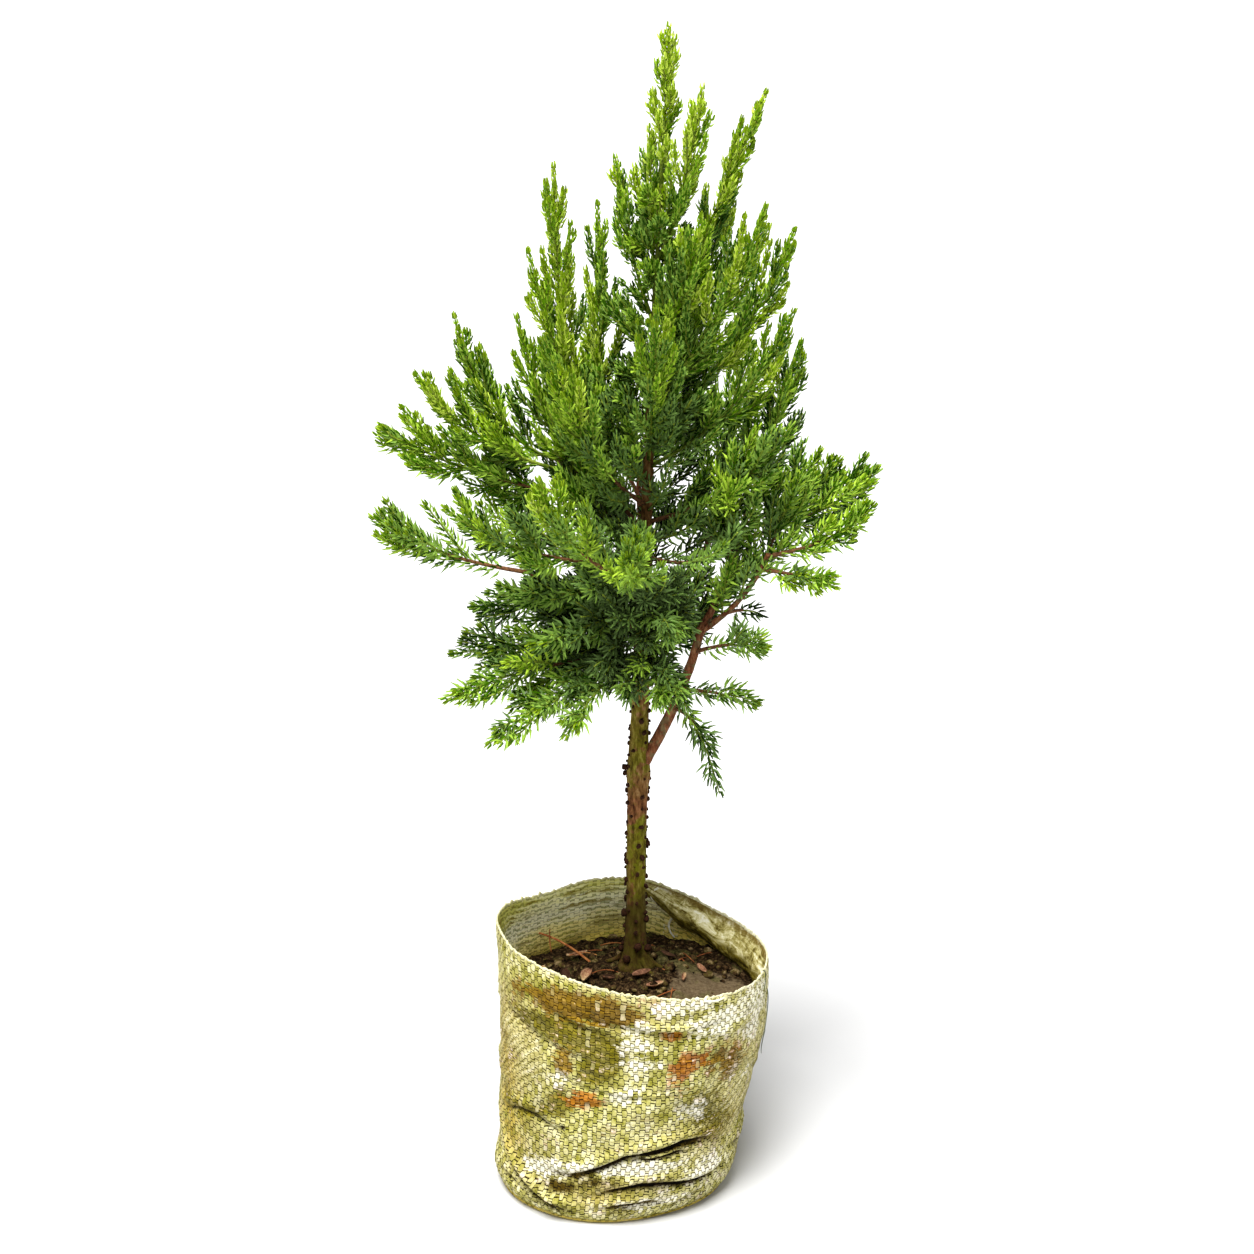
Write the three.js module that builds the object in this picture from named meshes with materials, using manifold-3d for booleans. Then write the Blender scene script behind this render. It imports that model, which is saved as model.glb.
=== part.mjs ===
// A young needle-leaved conifer in a filled grow bag of woven tape, as it leaves a nursery.
// Millimetres, +Z up, the origin at the middle of the bag's flat underside. +X is to the right and
// -Y towards the viewer. The bag leans a little to the right, the soil lies well below its mouth, and
// one straight trunk runs up through a crown of upswept plumes. Azimuths are in degrees round the
// trunk: 0 is +X and 90 is +Y.

import * as THREE from "three";
import { mergeVertices } from "three/addons/utils/BufferGeometryUtils.js";
import Module from "manifold-3d";

const wasm = await Module();
wasm.setup();

// The bag: a slack round sack, tucked in at the foot and widest at the mouth.
const MOUTH_RADIUS = 93;
const FOOT_TUCK = 17; // how much narrower the foot is than the mouth
const TUCK_HEIGHT = 55; // how fast the wall widens above the foot
const FOOT_ROUND = 13; // height of the rounded bottom edge
const FOOT_ROUND_IN = 8; // how far that edge turns in to the flat underside
const MOUTH_HEIGHT = 177;
const MOUTH_DROP = 15; // the mouth stands this much higher at -X and lower at +X
const MOUTH_SAG = 7; // and sags this much at the back, to both sides of the middle
const CORNER_AT = 3.5; // the azimuth in radians of the foot's bulging corner
const CORNER_BULGE = 6;
const CORNER_HEIGHT = 17;
const HOLLOW_DEPTH = 6; // the hollow in the +X wall, and the height of its middle
const HOLLOW_HEIGHT = 58;
const LEAN_X = 15; // the mouth's centre lies this far towards +X
const LEAN_HEIGHT = 70; // how fast the lean comes in above the foot
const LEAN_Y = 10;
const BAG_WALL = 1.6;
const BAG_SIDES = 40;
const BAG_RINGS = [0, 0.03, 0.075, 0.17, 0.29, 0.43, 0.58, 0.74, 0.88, 1];
const BAG_INNER_RINGS = [1, 0.9, 0.76, 0.5, 0.2, 0.06];

// The soil in the bag.
const SOIL_EDGE = 134; // its height at the bag's wall
const FOOT_HEIGHT = 147; // its height where the trunk stands on it
const MOUND_RADIUS = 46;
const MOUND_FLAT = 0.5; // the share of that radius round the trunk where the soil is level
const SOIL_RINGS = [0.3, 0.55, 0.74, 0.82];
const SOIL_SHRINK = 0.5; // a little further clear of the wall, whose facets are flat
const CLEARANCE = 0.3; // between pieces that touch

// The trunk, from the soil to where it enters the leader's needles.
const FOOT_X = 14.2;
const FOOT_Y = 29;
const TRUNK_SWEEP = 1.5; // the power of the curve by which it leans over to +X, slowly at first
const TRUNK_TOP = 700;
const TOP_X = 35; // where the leader's tip stands
const TOP_HEIGHT = 803;
const TRUNK_SIDES = 8;
const TRUNK_STEPS = 22;
const TRUNK_RADIUS = 7;
const TRUNK_TOP_RADIUS = 1.3;
const FLARE_RADIUS = 6; // what the root flare adds at the soil
const FLARE_HEIGHT = 9;
const COLLAR_HEIGHT = 288; // the swelling below the lowest bough
const COLLAR_RADIUS = 1.3;
const COLLAR_SPREAD = 13;
const THINNING_AT = 300; // above this height the trunk thins faster

// The rows of a table as objects whose keys are the words given.
function rowsOf(words, rows) {
  const keys = words.split(" ");
  return rows.map((row) => Object.fromEntries(keys.map((key, i) => [key, row[i]])));
}

// Each limb: the name, what carries it, where it leaves that (a height on the trunk, or a share of a
// limb's length), then its tip's azimuth, distance from the crown's axis and height, its two radii
// and how far it sags below the straight line.
const LIMBS = rowsOf("name carrier place azimuth reach height radius tipRadius sag", [
  ["bough_right", "trunk", 292, -10, 36, 395, 4.3, 2.9, 3],
  ["bough_right_upper", "bough_right", 1, -2, 60, 468, 2.7, 1.8, 3],
  ["bough_right_side", "bough_right", 1, -20, 82, 458, 2.2, 1.6, 6],
  ["bough_left", "trunk", 396, -171, 80, 440, 3.0, 1.9, 8],
  ["bough_left_upper", "trunk", 455, 173, 62, 512, 2.8, 1.8, 8],
  ["bough_front", "trunk", 412, -106, 62, 458, 2.8, 1.8, 7],
  ["bough_back", "trunk", 428, 97, 68, 480, 2.8, 1.8, 7],
  ["bough_back_right", "trunk", 404, 46, 62, 446, 2.8, 1.8, 7],
]);

// Each mass of needles: the name, what carries it and where, its tip's azimuth, distance and height,
// how far its side shoots spread, how far its stem sags (less than 0 arches over and droops), and how
// many side sprays it has.
const MASSES = rowsOf("name carrier place azimuth reach height spread sag count", [
  ["leader", "trunk", 698, -90, 4, 803, 18, 0, 8],
  ["top_right", "trunk", 648, -40, 29, 767, 24, 9, 6],
  ["top_left", "trunk", 606, 178, 31, 717, 19, 9, 7],
  ["top_back", "trunk", 622, 140, 13, 735, 24, 9, 6],
  ["upper_front", "trunk", 582, -62, 50, 690, 30, 12, 7],
  ["upper_left", "bough_left_upper", 0.38, 140, 54, 677, 35, 13, 8],
  ["upper_back", "trunk", 560, 34, 58, 706, 28, 10, 7],
  ["spire_right", "trunk", 592, 18, 67, 754, 22, -1, 8],
  ["spire_left", "bough_left_upper", 0.75, -172, 71, 714, 28, 10, 8],
  ["shoulder_left", "trunk", 500, -164, 88, 662, 32, 38, 7],
  ["fan_right_front", "trunk", 552, -38, 81, 698, 34, 6, 8],
  ["fan_right", "trunk", 534, 16, 90, 662, 34, 18, 7],
  ["fan_right_low", "trunk", 508, -12, 88, 620, 32, 18, 6],
  ["left_inner", "bough_left_upper", 0.15, 170, 93, 606, 34, 30, 7],
  ["left_front", "trunk", 482, -134, 96, 604, 34, 20, 7],
  ["front_high", "trunk", 512, -92, 84, 640, 34, 16, 7],
  ["right_mid_front", "trunk", 470, -28, 98, 552, 34, 14, 7],
  ["right_mid", "bough_right_upper", 0.98, 6, 94, 590, 34, -1, 7],
  ["right_inner", "bough_right_upper", 0.62, -40, 66, 540, 30, 10, 5],
  ["right_low", "bough_right_upper", 0.88, 14, 153, 494, 32, 12, 6],
  ["right_tip", "bough_right_side", 0.98, -10, 146, 490, 18, 9, 5],
  ["right_low_front", "bough_right_side", 0.84, -31, 138, 452, 13, -3, 5],
  ["right_low_inner", "bough_right_side", 0.55, -4, 98, 528, 30, 9, 7],
  ["right_under", "bough_right_side", 0.3, 6, 76, 402, 22, -4, 4],
  ["right_under_front", "bough_right", 0.86, -34, 94, 402, 18, -8, 4],
  ["twig_right", "bough_right", 0.6, -21, 80, 354, 9, -3, 3],
  ["twig_hanging", "bough_right", 0.46, -36, 64, 291, 9, -32, 3],
  ["left_fan_tall", "bough_left_upper", 0.98, 166, 137, 601, 31, 40, 8],
  ["left_fan", "bough_left_upper", 0.87, -176, 156, 575, 27, 14, 7],
  ["left_wing", "bough_left_upper", 0.6, 177, 179, 533, 34, 8, 7],
  ["left_middle", "bough_left", 0.7, 168, 112, 528, 34, 12, 6],
  ["left_low", "bough_left", 0.98, -167, 185, 488, 34, 6, 7],
  ["left_low_front", "trunk", 440, -150, 153, 507, 34, 14, 7],
  ["under_left_back", "trunk", 402, 163, 122, 396, 32, -8, 7],
  ["under_left", "trunk", 372, -176, 129, 380, 27, -12, 7],
  ["under_left_front", "trunk", 376, -152, 148, 372, 32, -14, 7],
  ["under_front_left", "trunk", 366, -138, 136, 350, 25, -18, 7],
  ["under_front", "trunk", 374, -122, 98, 352, 19, -16, 6],
  ["under_front_right", "trunk", 384, -80, 72, 366, 24, -14, 5],
  ["front_low", "bough_front", 0.98, -94, 136, 500, 35, 8, 7],
  ["front_low_left", "bough_front", 0.86, -122, 138, 540, 35, 14, 7],
  ["front_low_right", "trunk", 446, -66, 112, 492, 34, 8, 6],
  ["back_low", "bough_back", 0.98, 86, 142, 506, 35, 10, 7],
  ["back_low_left", "bough_back", 0.8, 112, 122, 566, 35, 14, 7],
  ["back_right", "bough_back_right", 0.98, 22, 135, 495, 32, 8, 7],
  ["back_right_high", "bough_back_right", 0.84, 60, 118, 580, 35, 14, 7],
  ["back_left", "trunk", 462, 130, 120, 560, 34, 14, 7],
  ["under_back", "trunk", 380, 112, 118, 384, 32, -14, 6],
  ["under_back_right", "trunk", 368, 58, 88, 374, 26, -14, 6],
]);

// A mass's stem and the sprays of needles on it.
const STEM_STEPS = 3;
const STEM_RADIUS = 1.7;
const STEM_TIP_RADIUS = 0.7;
const END_SPRAY = 0.76; // where the stem's own end spray begins, as a share of its length
const END_WHORLS = 2;
const GOLDEN_ANGLE = 137.5;
const FIRST_SHOOT = 0.18; // the first side shoot's place, as a share of the stem's length
const LAST_SHOOT = 0.68;
const SHOOT_ANGLE = 48; // between the lowest side shoot and its stem
const SHOOT_ANGLE_TIP = 27;
const SHOOT_BEND = 0.42; // the share of a shoot that follows its stem's own direction and turns up
const SHOOT_RISE = 1.1; // how far a shoot on a climbing stem turns up
const FLAT_RISE = 0.05; // and one on a stem that doesn't climb
const STEEP_CLIMB = 0.6; // height for each millimetre outwards, from which a stem counts as climbing
const TOOTH_RADIUS = 9; // how far the needles of the lowest side spray reach from its shoot
const TIP_TOOTH_RADIUS = 5.5; // and those of the last one
const END_TOOTH_RADIUS = 4.8;
const SHOOT_LIMIT = 0.9; // no shoot passes this share of the stem that is left above it
const CORE_RADIUS = 0.8;
const TOOTH_LEAD = 0.62; // where the tips of a whorl lie, as a share of the spacing of the whorls
const CORE_LEAD = 0.345; // and where the core shows before them
const WHORL_TURN = Math.PI / 6;
const SPRAY_NECK = 0.22; // the share of a side spray next to its stem that has no needles
const SMALLEST_SHOOT = 16;
const WHORL_SPACING = 16; // between a side spray's whorls, of which it has two to four

const UPSWEPT = 0.7; // the share of the way out that a stem is steered to before it turns up
const ARCHING = 0.55; // and before it droops
const LIMB_SIDES = 5;
const LIMB_STEPS = 5;

const UP = new THREE.Vector3(0, 0, 1);

// A repeatable random number from 0 to 1.
function seeded(seed) {
  let state = seed >>> 0;
  return () => {
    state = (state + 0x6d2b79f5) >>> 0;
    let t = state;
    t = Math.imul(t ^ (t >>> 15), t | 1);
    t ^= t + Math.imul(t ^ (t >>> 7), t | 61);
    return ((t ^ (t >>> 14)) >>> 0) / 4294967296;
  };
}

const mix = (a, b, t) => a + (b - a) * t;

// Solids

// A closed skin through rings of points that each run counterclockwise, seen from the last ring. The
// first and last may be single points.
function loft(rings) {
  const index = [];
  let start = 0; // of the present ring, in the list of points
  rings.forEach((ring, r) => {
    const next = rings[r + 1];
    if (next) join(index, start, ring.length, start + ring.length, next.length);
    if (r === 0 || !next) cap(index, start, ring.length, r > 0);
    start += ring.length;
  });
  return new THREE.BufferGeometry().setFromPoints(rings.flat()).setIndex(index);
}

function cap(index, first, count, facingOn) {
  for (let i = 1; i < count - 1; i++) {
    if (facingOn) index.push(first, first + i, first + i + 1);
    else index.push(first, first + i + 1, first + i);
  }
}

function join(index, a, countA, b, countB) {
  for (let i = 0; i < Math.max(countA, countB); i++) {
    const after = i + 1;
    if (countA > 1) index.push(a + i, a + (after % countA), b + (countB > 1 ? after % countB : 0));
    if (countB > 1) index.push(countA > 1 ? a + i : a, b + (after % countB), b + i);
  }
}

function solidOf(geometry) {
  const bare = geometry.clone();
  bare.deleteAttribute("normal");
  bare.deleteAttribute("uv");
  const merged = mergeVertices(bare, 1e-4);
  return new wasm.Manifold(
    new wasm.Mesh({
      numProp: 3,
      vertProperties: merged.attributes.position.array,
      triVerts: new Uint32Array(merged.index.array),
    }),
  );
}

function geometryOf(solid) {
  const mesh = solid.getMesh();
  return new THREE.BufferGeometry()
    .setAttribute("position", new THREE.BufferAttribute(mesh.vertProperties, 3))
    .setIndex(new THREE.BufferAttribute(mesh.triVerts, 1));
}

// Two directions square to a plane curve at t, the first of them square to its whole plane.
function across(curve, t) {
  const first = curve.v1.clone().sub(curve.v0);
  const u = first.cross(curve.v2.clone().sub(curve.v0));
  if (u.length() < 1) u.crossVectors(curve.v2.clone().sub(curve.v0), new THREE.Vector3(1, 0.3, 0));
  u.normalize();
  return [u, new THREE.Vector3().crossVectors(curve.getTangent(t), u).normalize()];
}

function ringAt(curve, t, radius, sides, turn = 0) {
  const centre = curve.getPoint(t);
  const [u, v] = across(curve, t);
  return Array.from({ length: sides }, (_, i) => {
    const angle = turn + (i / sides) * 2 * Math.PI;
    return centre
      .clone()
      .addScaledVector(u, radius * Math.cos(angle))
      .addScaledVector(v, radius * Math.sin(angle));
  });
}

// What a ring's radius grows by to move its flat sides out by a clearance.
const outset = (clearance, sides) => clearance / Math.cos(Math.PI / sides);

// A tapering limb along a curve, or its shape grown by a clearance all round.
function limbSolid(curve, radius, tipRadius, clearance = 0) {
  const rings = [];
  for (let i = 0; i <= LIMB_STEPS; i++) {
    const t = i / LIMB_STEPS;
    const wide = mix(radius, tipRadius, t) + outset(clearance, LIMB_SIDES);
    rings.push(ringAt(curve, t, wide, LIMB_SIDES));
  }
  const onwards = curve.getTangent(1).multiplyScalar(clearance);
  rings.at(-1).forEach((point) => point.add(onwards));
  return solidOf(loft(rings));
}

// The bag and its soil

function bagCentre(z) {
  return [LEAN_X * (1 - Math.exp(-z / LEAN_HEIGHT)), (LEAN_Y * z) / MOUTH_HEIGHT];
}

// How far the slack cloth bulges or falls in from a true round, as a share of the radius.
function slack(angle, z) {
  const high = z / MOUTH_HEIGHT;
  return (
    0.012 * Math.cos(2 * angle - 1.2) +
    0.01 * Math.cos(3 * angle + 0.6 + 1.5 * high) +
    0.009 * (1 - high) * Math.cos(5 * angle + 2.2 - 3 * high) +
    0.012 * Math.sin(9 * high + 1.4 * Math.cos(angle - 0.8)) * (1 - 0.6 * high)
  );
}

// The lower corner that bulges out and the hollow wall opposite.
function bulge(angle, z) {
  const corner = Math.max(0, Math.cos(angle - CORNER_AT)) ** 2;
  const hollow = Math.max(0, Math.cos(angle)) ** 2;
  return (
    CORNER_BULGE * corner * Math.exp(-((z / CORNER_HEIGHT - 0.7) ** 2)) -
    HOLLOW_DEPTH * hollow * Math.exp(-((z / HOLLOW_HEIGHT - 1) ** 2) * 3)
  );
}

function mouthHeight(angle) {
  const sag = Math.sin(angle) > 0 ? Math.sin(2 * angle) ** 2 : 0;
  return MOUTH_HEIGHT - MOUTH_DROP * Math.cos(angle) - sag * MOUTH_SAG * (1 - 0.4 * Math.cos(angle));
}

function bagPoint(angle, z, inset) {
  const [x, y] = bagCentre(z);
  let radius = (MOUTH_RADIUS - FOOT_TUCK * Math.exp(-z / TUCK_HEIGHT)) * (1 + slack(angle, z));
  if (z < FOOT_ROUND) radius -= FOOT_ROUND_IN * (1 - Math.sqrt(1 - (1 - z / FOOT_ROUND) ** 2));
  radius += bulge(angle, z) - inset;
  return new THREE.Vector3(x + radius * Math.cos(angle), y + radius * Math.sin(angle), z);
}

const bagAngles = Array.from({ length: BAG_SIDES }, (_, i) => (i / BAG_SIDES) * 2 * Math.PI);

// A ring round the bag at a share of the mouth's slanting height, moved inwards.
function bagRing(share, inset) {
  return bagAngles.map((angle) => bagPoint(angle, share * mouthHeight(angle), inset));
}

function growBag() {
  const outside = BAG_RINGS.map((share) => bagRing(share, 0));
  const inside = BAG_INNER_RINGS.map((share) => bagRing(share, BAG_WALL));
  const floor = bagRing(0, BAG_WALL).map((point) => point.setZ(BAG_WALL));
  return loft([...outside, ...inside, floor]);
}

const foot = new THREE.Vector3(FOOT_X, FOOT_Y, FOOT_HEIGHT);

// The soil: level at the wall, and heaped gently towards the trunk's foot.
function rootBall() {
  const inset = BAG_WALL + CLEARANCE + SOIL_SHRINK;
  const floor = bagRing(0, inset).map((point) => point.setZ(BAG_WALL + CLEARANCE));
  const sides = BAG_INNER_RINGS.filter((share) => share < 0.6).map((share) => bagRing(share, inset));
  const edge = bagAngles.map((angle) => bagPoint(angle, SOIL_EDGE, inset));
  const top = SOIL_RINGS.map((share) => edge.map((point) => mound(point.clone().lerp(foot, share))));
  return loft([floor, ...sides.reverse(), edge, ...top]);
}

function mound(point) {
  const far = Math.hypot(point.x - foot.x, point.y - foot.y) / MOUND_RADIUS;
  point.z = far < MOUND_FLAT ? FOOT_HEIGHT : mix(SOIL_EDGE, FOOT_HEIGHT, Math.exp(-(far ** 3)));
  return point;
}

// The trunk and its limbs

function trunkLine(z) {
  const share = Math.max(0, z - FOOT_HEIGHT) / (TOP_HEIGHT - FOOT_HEIGHT);
  return new THREE.Vector3(mix(FOOT_X, TOP_X, share ** TRUNK_SWEEP), FOOT_Y, z);
}

function trunkRadius(z) {
  const foot = z - FOOT_HEIGHT;
  const flare = FLARE_RADIUS * Math.exp(-foot / FLARE_HEIGHT);
  const collar = COLLAR_RADIUS * Math.exp(-(((z - COLLAR_HEIGHT) / COLLAR_SPREAD) ** 2));
  const above = Math.max(0, z - THINNING_AT) / (TRUNK_TOP - THINNING_AT);
  return mix(TRUNK_RADIUS, TRUNK_TOP_RADIUS, Math.min(1, above) ** 0.85) + flare + collar;
}

function trunkRing(z, radius) {
  const centre = trunkLine(z);
  return Array.from({ length: TRUNK_SIDES }, (_, i) => {
    const angle = (i / TRUNK_SIDES) * 2 * Math.PI;
    const out = new THREE.Vector3(radius * Math.cos(angle), radius * Math.sin(angle), 0);
    return out.add(centre);
  });
}

function trunkSolid(clearance) {
  const bottom = FOOT_HEIGHT + CLEARANCE - clearance;
  const rings = [];
  for (let i = 0; i <= TRUNK_STEPS; i++) {
    const z = mix(bottom, TRUNK_TOP + clearance, (i / TRUNK_STEPS) ** 1.25);
    rings.push(trunkRing(z, trunkRadius(z) + outset(clearance, TRUNK_SIDES)));
  }
  return solidOf(loft(rings));
}

// A point at a height, at a distance and azimuth from the crown's straight axis.
function inCrown(azimuth, reach, height) {
  const angle = THREE.MathUtils.degToRad(azimuth);
  const sideways = new THREE.Vector3(Math.cos(angle), Math.sin(angle), 0);
  const share = (height - FOOT_HEIGHT) / (TOP_HEIGHT - FOOT_HEIGHT);
  const axis = new THREE.Vector3(mix(FOOT_X, TOP_X, share), FOOT_Y, height);
  return axis.addScaledVector(sideways, reach);
}

const carriers = new Map(); // the curve and the grown solid of the trunk and each limb

function rootOn(carrier, place) {
  return carrier === "trunk" ? trunkLine(place) : carriers.get(carrier).curve.getPoint(place);
}

// A stem leaves its carrier outwards and turns up, or arches over where its sag is less than 0.
function stemCurve({ carrier, place, azimuth, reach, height, sag }) {
  const root = rootOn(carrier, place);
  const tip = inCrown(azimuth, reach, height);
  const control = root.clone().lerp(tip, 0.5);
  const out = sag > 0 ? UPSWEPT : ARCHING;
  control.x = mix(root.x, tip.x, out);
  control.y = mix(root.y, tip.y, out);
  control.z -= sag;
  return new THREE.QuadraticBezierCurve3(root, control, tip);
}

function largestBody(solid) {
  return solid.decompose().reduce((a, b) => (a.volume() > b.volume() ? a : b));
}

// The one main body of a solid, without slivers or loose scraps.
function tidied(solid) {
  return largestBody(solidOf(geometryOf(solid.simplify(0.05))));
}

carriers.set("trunk", { grown: trunkSolid(CLEARANCE) });

const limbs = new Map();
for (const { name, radius, tipRadius, ...growth } of LIMBS) {
  const curve = stemCurve(growth);
  let solid = limbSolid(curve, radius, tipRadius);
  for (const { grown } of carriers.values()) solid = solid.subtract(grown);
  const grown = limbSolid(curve, radius, tipRadius, CLEARANCE);
  carriers.set(name, { curve, grown });
  limbs.set(name, tidied(solid));
}

// The masses of needles

const stems = new Map();
for (const mass of MASSES) stems.set(mass.name, stemCurve(mass));

// Rings along a shoot from share `from` of its length up to its tip: whorls of three needles that
// point forward from a slim core, each turned from the last.
function whorlRings(curve, from, whorls, tooth) {
  const rings = [];
  const spacing = (1 - from) / whorls;
  for (let k = 0; k < whorls; k++) {
    const tips = from + (k + TOOTH_LEAD) * spacing;
    const core = from + (k + CORE_LEAD) * spacing;
    const turn = WHORL_TURN * 2 * k;
    rings.push(ringAt(curve, tips, tooth * mix(1, 0.75, k / whorls), 3, turn));
    if (k < whorls - 1) rings.push(ringAt(curve, core, CORE_RADIUS, 3, turn + WHORL_TURN));
  }
  rings.push([curve.getPoint(1)]);
  return rings;
}

function sideSpray(curve, whorls, tooth) {
  return solidOf(loft([[curve.getPoint(0)], ...whorlRings(curve, SPRAY_NECK, whorls, tooth)]));
}

// The stem of a mass, bare as far as its end spray, or its shape grown by a clearance.
function stemSolid(curve, clearance = 0) {
  const extra = outset(clearance, 3);
  const rings = [];
  for (let i = 0; i <= STEM_STEPS; i++) {
    const t = (i / STEM_STEPS) * END_SPRAY;
    rings.push(ringAt(curve, t, mix(STEM_RADIUS, STEM_TIP_RADIUS, t) + extra, 3));
  }
  const whorls = whorlRings(curve, END_SPRAY, END_WHORLS, END_TOOTH_RADIUS + extra);
  return solidOf(loft([...rings, ...whorls]));
}

// How far the shoots of a stem turn up: the more, the steeper it climbs.
function shootRise(stem) {
  const chord = stem.v2.clone().sub(stem.v0);
  const climb = chord.z / Math.hypot(chord.x, chord.y) / STEEP_CLIMB;
  return mix(FLAT_RISE, SHOOT_RISE, Math.min(1, Math.max(0, climb)));
}

// The curves of a mass's side shoots, by a seeded rule: a golden-angle spiral round the stem, longest
// near the foot, each turning up towards the stem's own direction.
function sideShoots(stem, { spread, count }, seed) {
  const random = seeded(seed);
  const rise = shootRise(stem);
  const turn0 = random() * 360;
  return Array.from({ length: count }, (_, k) => {
    const share = (k + 0.5) / count;
    const at = mix(FIRST_SHOOT, LAST_SHOOT, share);
    const root = stem.getPoint(at);
    const along = stem.getTangent(at);
    const [u, v] = across(stem, at);
    const turn = THREE.MathUtils.degToRad(turn0 + k * GOLDEN_ANGLE + (random() - 0.5) * 30);
    const out = u.multiplyScalar(Math.cos(turn)).addScaledVector(v, Math.sin(turn));
    const lean = THREE.MathUtils.degToRad(mix(SHOOT_ANGLE, SHOOT_ANGLE_TIP, share));
    const full = (spread / Math.sin(lean)) * mix(1, 0.6, share) * mix(0.85, 1.1, random());
    const length = Math.min(full, (1 - at) * stem.getLength() * SHOOT_LIMIT);
    const heading = along.clone().multiplyScalar(Math.cos(lean));
    heading.addScaledVector(out, Math.sin(lean));
    const middle = root.clone().addScaledVector(heading, length * 0.5);
    const bend = along.clone().addScaledVector(UP, rise).normalize();
    const tip = root.clone().addScaledVector(heading, length * (1 - SHOOT_BEND));
    tip.addScaledVector(bend, length * SHOOT_BEND);
    const tooth = mix(TOOTH_RADIUS, TIP_TOOTH_RADIUS, share);
    return { curve: new THREE.QuadraticBezierCurve3(root, middle, tip), length, tooth };
  });
}

function boxesMeet(a, b) {
  return [0, 1, 2].every(
    (i) => a.min[i] - CLEARANCE < b.max[i] && b.min[i] - CLEARANCE < a.max[i],
  );
}

// What a new spray has to keep clear of: each entry is a solid, its box and the mass it belongs to.
const taken = [];
const take = (solid, owner) => taken.push({ solid, box: solid.boundingBox(), owner });
for (const [name, solid] of limbs) take(solid, name);
take(trunkSolid(0), "trunk");

function isFree(solid, owner) {
  const box = solid.boundingBox();
  return taken.every(
    (other) =>
      other.owner === owner ||
      !boxesMeet(box, other.box) ||
      solid.minGap(other.solid, 2 * CLEARANCE) >= CLEARANCE,
  );
}

const STEM_STATIONS = [0.25, 0.4, 0.55, 0.7, 0.85, 1];
const stations = new Map();
for (const [name, stem] of stems) {
  stations.set(name, STEM_STATIONS.map((t) => stem.getPoint(t)));
}

// A shoot keeps to its own mass's space if no other stem lies nearer to its tip.
function keepsItsSpace(tip, owner) {
  const nearest = (name) => Math.min(...stations.get(name).map((p) => p.distanceTo(tip)));
  const own = nearest(owner);
  return [...stations.keys()].every((name) => name === owner || nearest(name) > 0.8 * own);
}

// The stems are cut clear of the limbs first, and of the stems before them.
const stemSolids = new Map();
for (const [name, stem] of stems) {
  let solid = stemSolid(stem);
  for (const { grown } of carriers.values()) solid = solid.subtract(grown);
  for (const [other, placed] of stemSolids) {
    const near = boxesMeet(solid.boundingBox(), placed.boundingBox());
    if (!near || solid.minGap(placed, 2 * CLEARANCE) >= CLEARANCE) continue;
    solid = solid.subtract(stemSolid(stems.get(other), CLEARANCE));
  }
  stemSolids.set(name, largestBody(solid));
}
for (const [name, solid] of stemSolids) take(solid, name);

const masses = new Map();
for (const [number, mass] of MASSES.entries()) {
  const { name } = mass;
  const pieces = [stemSolids.get(name)];
  for (const { curve, length, tooth } of sideShoots(stems.get(name), mass, number + 1)) {
    if (length < SMALLEST_SHOOT || !keepsItsSpace(curve.getPoint(1), name)) continue;
    const whorls = Math.min(4, Math.max(2, Math.round(length / WHORL_SPACING)));
    const spray = sideSpray(curve, whorls, tooth);
    if (isFree(spray, name)) pieces.push(spray);
  }
  const joined = tidied(wasm.Manifold.union(pieces));
  take(joined, name);
  masses.set(name, joined);
}

// Colours and the finished group

const COLOURS = {
  cloth: { color: 0xc9c79a, roughness: 0.75 },
  soil: { color: 0x4a3a2c, roughness: 0.95 },
  bark: { color: 0x6b5a34, roughness: 0.9 },
  bough: { color: 0x7a4a34, roughness: 0.85 },
  needles: { color: 0x4f8a2a, roughness: 0.6 },
};

function named(name, geometry, finish) {
  const mesh = new THREE.Mesh(geometry, new THREE.MeshStandardMaterial({ ...finish, metalness: 0 }));
  mesh.name = name;
  return mesh;
}

const sapling = new THREE.Group();
sapling.add(named("grow_bag", growBag(), COLOURS.cloth));
sapling.add(named("root_ball", rootBall(), COLOURS.soil));
sapling.add(named("trunk", geometryOf(trunkSolid(0)), COLOURS.bark));
for (const [name, solid] of limbs) sapling.add(named(name, geometryOf(solid), COLOURS.bough));
for (const [name, solid] of masses) {
  sapling.add(named("needles_" + name, geometryOf(solid), COLOURS.needles));
}

export default sapling;
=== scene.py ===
# A young needle-leaved conifer in a filled grow bag of woven tape: the finished looks, dressed over
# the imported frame. Lengths are in millimetres until a mesh is made, +Z is up and -Y is towards the
# viewer. Azimuths are in degrees round the trunk: 0 is +X and 90 is +Y.

import math
from itertools import pairwise

import bpy
import numpy as np
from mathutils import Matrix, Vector, noise

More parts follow.
